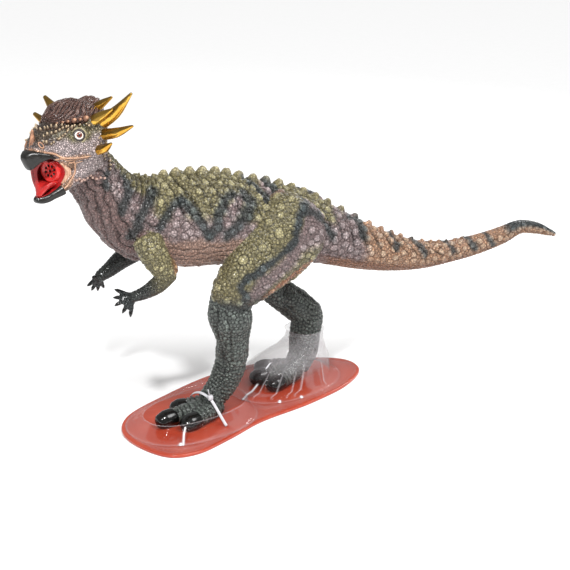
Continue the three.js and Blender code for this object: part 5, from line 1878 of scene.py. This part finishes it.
# Claws
def make_claws():
    gloss = moulded_material("claw_gloss", linear(12, 12, 11), 0.15, 0.3, 260.0, 0.2)
    for side, leg in LEGS.items():
        for name, (_, _, root, tip) in zip(TOE_NAMES, leg["toes"]):
            root, tip = np.array(root, float), np.array(tip, float)
            back = unit(root - tip) * 2.5
            middle = (root + tip) / 2
            near_tip = root + (tip - root) * 0.82
            stations = [
                [*(root + back), 7.4, 6.6, root[2] - SOLE_Z], [*root, 9.0, 8.2, root[2] - SOLE_Z],
                [*middle, 9.8, 9.3, middle[2] - SOLE_Z], [*near_tip, 8.6, 8.2, near_tip[2] - SOLE_Z],
            ]
            points, poles = Tube(stations).grid(40, 32, end=6.2, steps=10)
            points[..., 2] = np.maximum(points[..., 2], SOLE_Z)
            claw = make_object(f"toe_claw_{name}_{side}", *closed_mesh(points, poles))
            finish_piece(claw, gloss, "black_claw", f"claw_{name}_{side}")
    for side, arm in ARMS.items():
        palm = np.array(arm["fore"][-1][:3], float)
        nails = []
        for tip in arm["fingers"]:
            tip = np.array(tip, float)
            root = palm + (tip - palm) * 0.74
            stations = [[*root, 2.0, 2.1, 1.9], [*((root + tip) / 2), 1.7, 1.8, 1.5], [*tip, 0.6, 0.6, 0.6]]
            nails.append(closed_mesh(*Tube(stations).grid(20, 16, end=0.5)))
        piece = joined(f"finger_claws_{side}", nails)
        finish_piece(piece, gloss, "black_claw")


# Stand
def outline_points(inset, count=240):
    middle = np.array(BASE_MIDDLE, float)
    away = np.array(BASE_OUTLINE, float) - middle
    length = np.linalg.norm(away, axis=1, keepdims=True)
    points = middle + away / length * (length - inset)
    ring = np.vstack([points[-2:], points, points[:3]])
    t = np.arange(count) / count * len(points) + 2
    return spline(np.column_stack([ring, np.zeros(len(ring))]), t)[:, :2]


def to_stand(points):
    return np.asarray(points, float) @ BASE_AXES.T + BASE_PLACE


# Inset and height of each ring of the plate's rolled rim
RIM_PROFILE = [(0.5, 0.0), (0.1, 0.15), (0, 0.45), (0, 2.0), (0.12, 2.45), (0.45, 2.8), (0.95, 2.97), (1.6, 3.0)]


def outline_rings(profile, count):
    return np.array([np.column_stack([outline_points(inset, count), np.full(count, z)]) for inset, z in profile])


def make_base():
    poles = to_stand([[*BASE_MIDDLE, 0.0], [*BASE_MIDDLE, BASE_THICK]])
    base = make_object("base_plate", *closed_mesh(to_stand(outline_rings(RIM_PROFILE, 240)), poles))
    finish_piece(base, plate_material(), "base_red", "stand_base")


def cover_wall(stations, rings):
    """A wall of the cover: rings of points in the plate's axes, flared where it meets the sheet and at its rim."""
    table = np.array(stations, float)
    last = len(table) - 1
    t = np.linspace(0, last, rings)
    c, n = ring_of(full_turn(COVER_SIDES), COVER_SQUARE)
    rows = []
    for x, y, z, half, fore, aft in zip(*(np.interp(t, np.arange(last + 1), column) for column in table.T)):
        grow = FOOT_FLARE * math.exp(-(z - table[0, 2]) / 1.2) + RIM_FLARE * math.exp(-(table[-1, 2] - z) / 0.8)
        long = np.where(c > 0, fore, aft) + grow
        rows.append(np.column_stack([x + c * long, y + n * (half + grow), np.full(COVER_SIDES, z)]))
    return np.array(rows)


def crumpled(name, wall, deep, folds):
    """The wall after crumpling and folding, with how dense it is and how bright its painted glare is at each point."""
    flat = wall.reshape(-1, 3)
    height = flat[:, 2].copy()
    rim = height.max()
    out = unit((wall - wall.mean(1, keepdims=True)) * np.array([1, 1, 0])).reshape(-1, 3)
    rise = smoothstep(4, 12, height) * (1 - smoothstep(rim - 2, rim, height))
    stretched = flat * np.array([1, 1, 0.35])
    crumple = wobble(stretched, 17, 21) + 0.6 * wobble(stretched, 8, 22) - 0.8 * np.abs(wobble(stretched, 12, 23))
    rows, sides, _ = wall.shape
    share = np.repeat(np.linspace(0, 1, rows), sides)
    turn = np.tile(np.arange(sides) / sides * 360, rows)
    fold = np.zeros(len(flat))
    for at, lean, width in folds:
        fold = np.maximum(fold, bell(turn - at - lean * (share - 0.5), width))
    fold *= smoothstep(4.5, 9, height)
    shine = np.zeros(len(flat))
    for where, at, lean, width, low, high in GLARE_STREAKS:
        if where == name:
            across = bell(turn - at - lean * (height - low) / (high - low), width)
            reach = smoothstep(low - 0.6, low, height) * (1 - smoothstep(high, high + 1, height))
            shine = np.maximum(shine, across * reach)
    steady = 1 - smoothstep(rim - 5, rim - 1, height)
    flat = flat + out * (deep * rise * crumple + 0.6 * fold * steady)[:, None]
    foot = 1 - smoothstep(4.0, 5.2, flat[:, 2])
    haze = smoothstep(18, 34, height) * 0.6
    dense = np.maximum.reduce([fold, smoothstep(rim - 1.2, rim, flat[:, 2]), foot * 0.25, haze])
    return flat.reshape(wall.shape), dense, shine


def make_cover():
    walls, dense, glare = zip(*(crumpled(name, cover_wall(stations, rings), deep, folds)
                                for name, stations, rings, deep, folds in COVER_WALLS))
    pieces = [(to_stand(wall.reshape(-1, 3)), grid_faces(wall.shape[0], wall.shape[1])) for wall in walls]
    flange = flange_mesh(outline_rings(((4.0, 3.45), (4.6, 3.7), (5.6, SHEET_Z)), 200), [wall[0] for wall in walls])
    cover = joined("clear_cover_sheet", [*pieces, flange])
    for name, values in (("dense", dense), ("glare", glare)):
        write_values(cover.data, name, np.concatenate([*values, np.zeros(len(flange[0]))]))
    solid = cover.modifiers.new("wall", "SOLIDIFY")
    solid.thickness = COVER_THICK * MM
    solid.offset = 0
    apply_modifiers(cover)
    finish_piece(cover, cover_material(), "clear_cover", "cover_front", "cover_rear", "cover_neck", "cover_flange")


def flange_mesh(edge_rings, holes):
    """The flat sheet on the plate, with an opening under each chamber."""
    bm = bmesh.new()
    loops = []
    for ring in (edge_rings[-1], *holes):
        verts = [bm.verts.new((float(p[0]), float(p[1]), SHEET_Z)) for p in ring]
        loops.append([bm.edges.new((verts[i], verts[(i + 1) % len(verts)])) for i in range(len(verts))])
    bmesh.ops.triangle_fill(bm, use_beauty=True, edges=[edge for loop in loops for edge in loop])
    bmesh.ops.delete(bm, geom=[f for f in bm.faces if inside_ring(f.calc_center_median(), holes)], context="FACES_ONLY")
    bm.verts.index_update()
    verts = [tuple(v.co) for v in bm.verts]
    faces = [tuple(v.index for v in f.verts) for f in bm.faces]
    bm.free()
    count = len(edge_rings[0])
    base = len(verts)
    for ring in edge_rings:
        verts += [tuple(p) for p in ring]
    faces += grid_faces(len(edge_rings), count, base)
    return to_stand(verts), faces


def inside_ring(at, rings):
    for ring in rings:
        x, y = ring[:, 0], ring[:, 1]
        nx, ny = np.roll(x, -1), np.roll(y, -1)
        cross = ((y > at.y) != (ny > at.y)) & (at.x < (nx - x) * (at.y - y) / (ny - y + 1e-12) + x)
        if cross.sum() % 2:
            return True
    return False


def make_tie():
    white = moulded_material("nylon_white", linear(196, 195, 199), 0.35, 0.05, 400.0, 0.1)
    path = Tube([[*at, 1.4, 0.5, 0.5] for at in TIE_PATH], unit(np.array([-0.5, 0, 0.85])))
    strap = closed_mesh(*path.grid(24, 90, square=4))
    lock = rounded_box((-96.6, -41.2, 25.2), (-91.6, -36.2, 29.8), 0.7)
    tail = closed_mesh(*Tube(TIE_TAIL, FORWARD).grid(16, 14, square=4))
    tie = joined("cable_tie", [strap, lock, tail])
    finish_piece(tie, white, "tie_white", "stand_tie")


def rounded_box(low, high, bevel):
    bm = bmesh.new()
    bmesh.ops.create_cube(bm, size=1)
    low, high = np.array(low), np.array(high)
    for vert in bm.verts:
        vert.co = Vector((low + high) / 2 + np.array(vert.co) * (high - low))
    bmesh.ops.bevel(bm, geom=bm.edges[:], offset=bevel, segments=3, profile=0.5, affect="EDGES")
    verts = [tuple(v.co) for v in bm.verts]
    bm.verts.index_update()
    faces = [tuple(v.index for v in f.verts) for f in bm.faces]
    bm.free()
    return np.array(verts), faces


make_camera()
make_stage()
skin_surface = surface_of(make_skin())
make_dome()
make_scales(skin_surface)
make_horns()
make_beaks()
make_lining()
make_grille()
make_tongue()
make_webs()
make_lips(skin_surface)
make_eyes()
make_nostrils(skin_surface)
make_claws()
make_base()
make_cover()
make_tie()
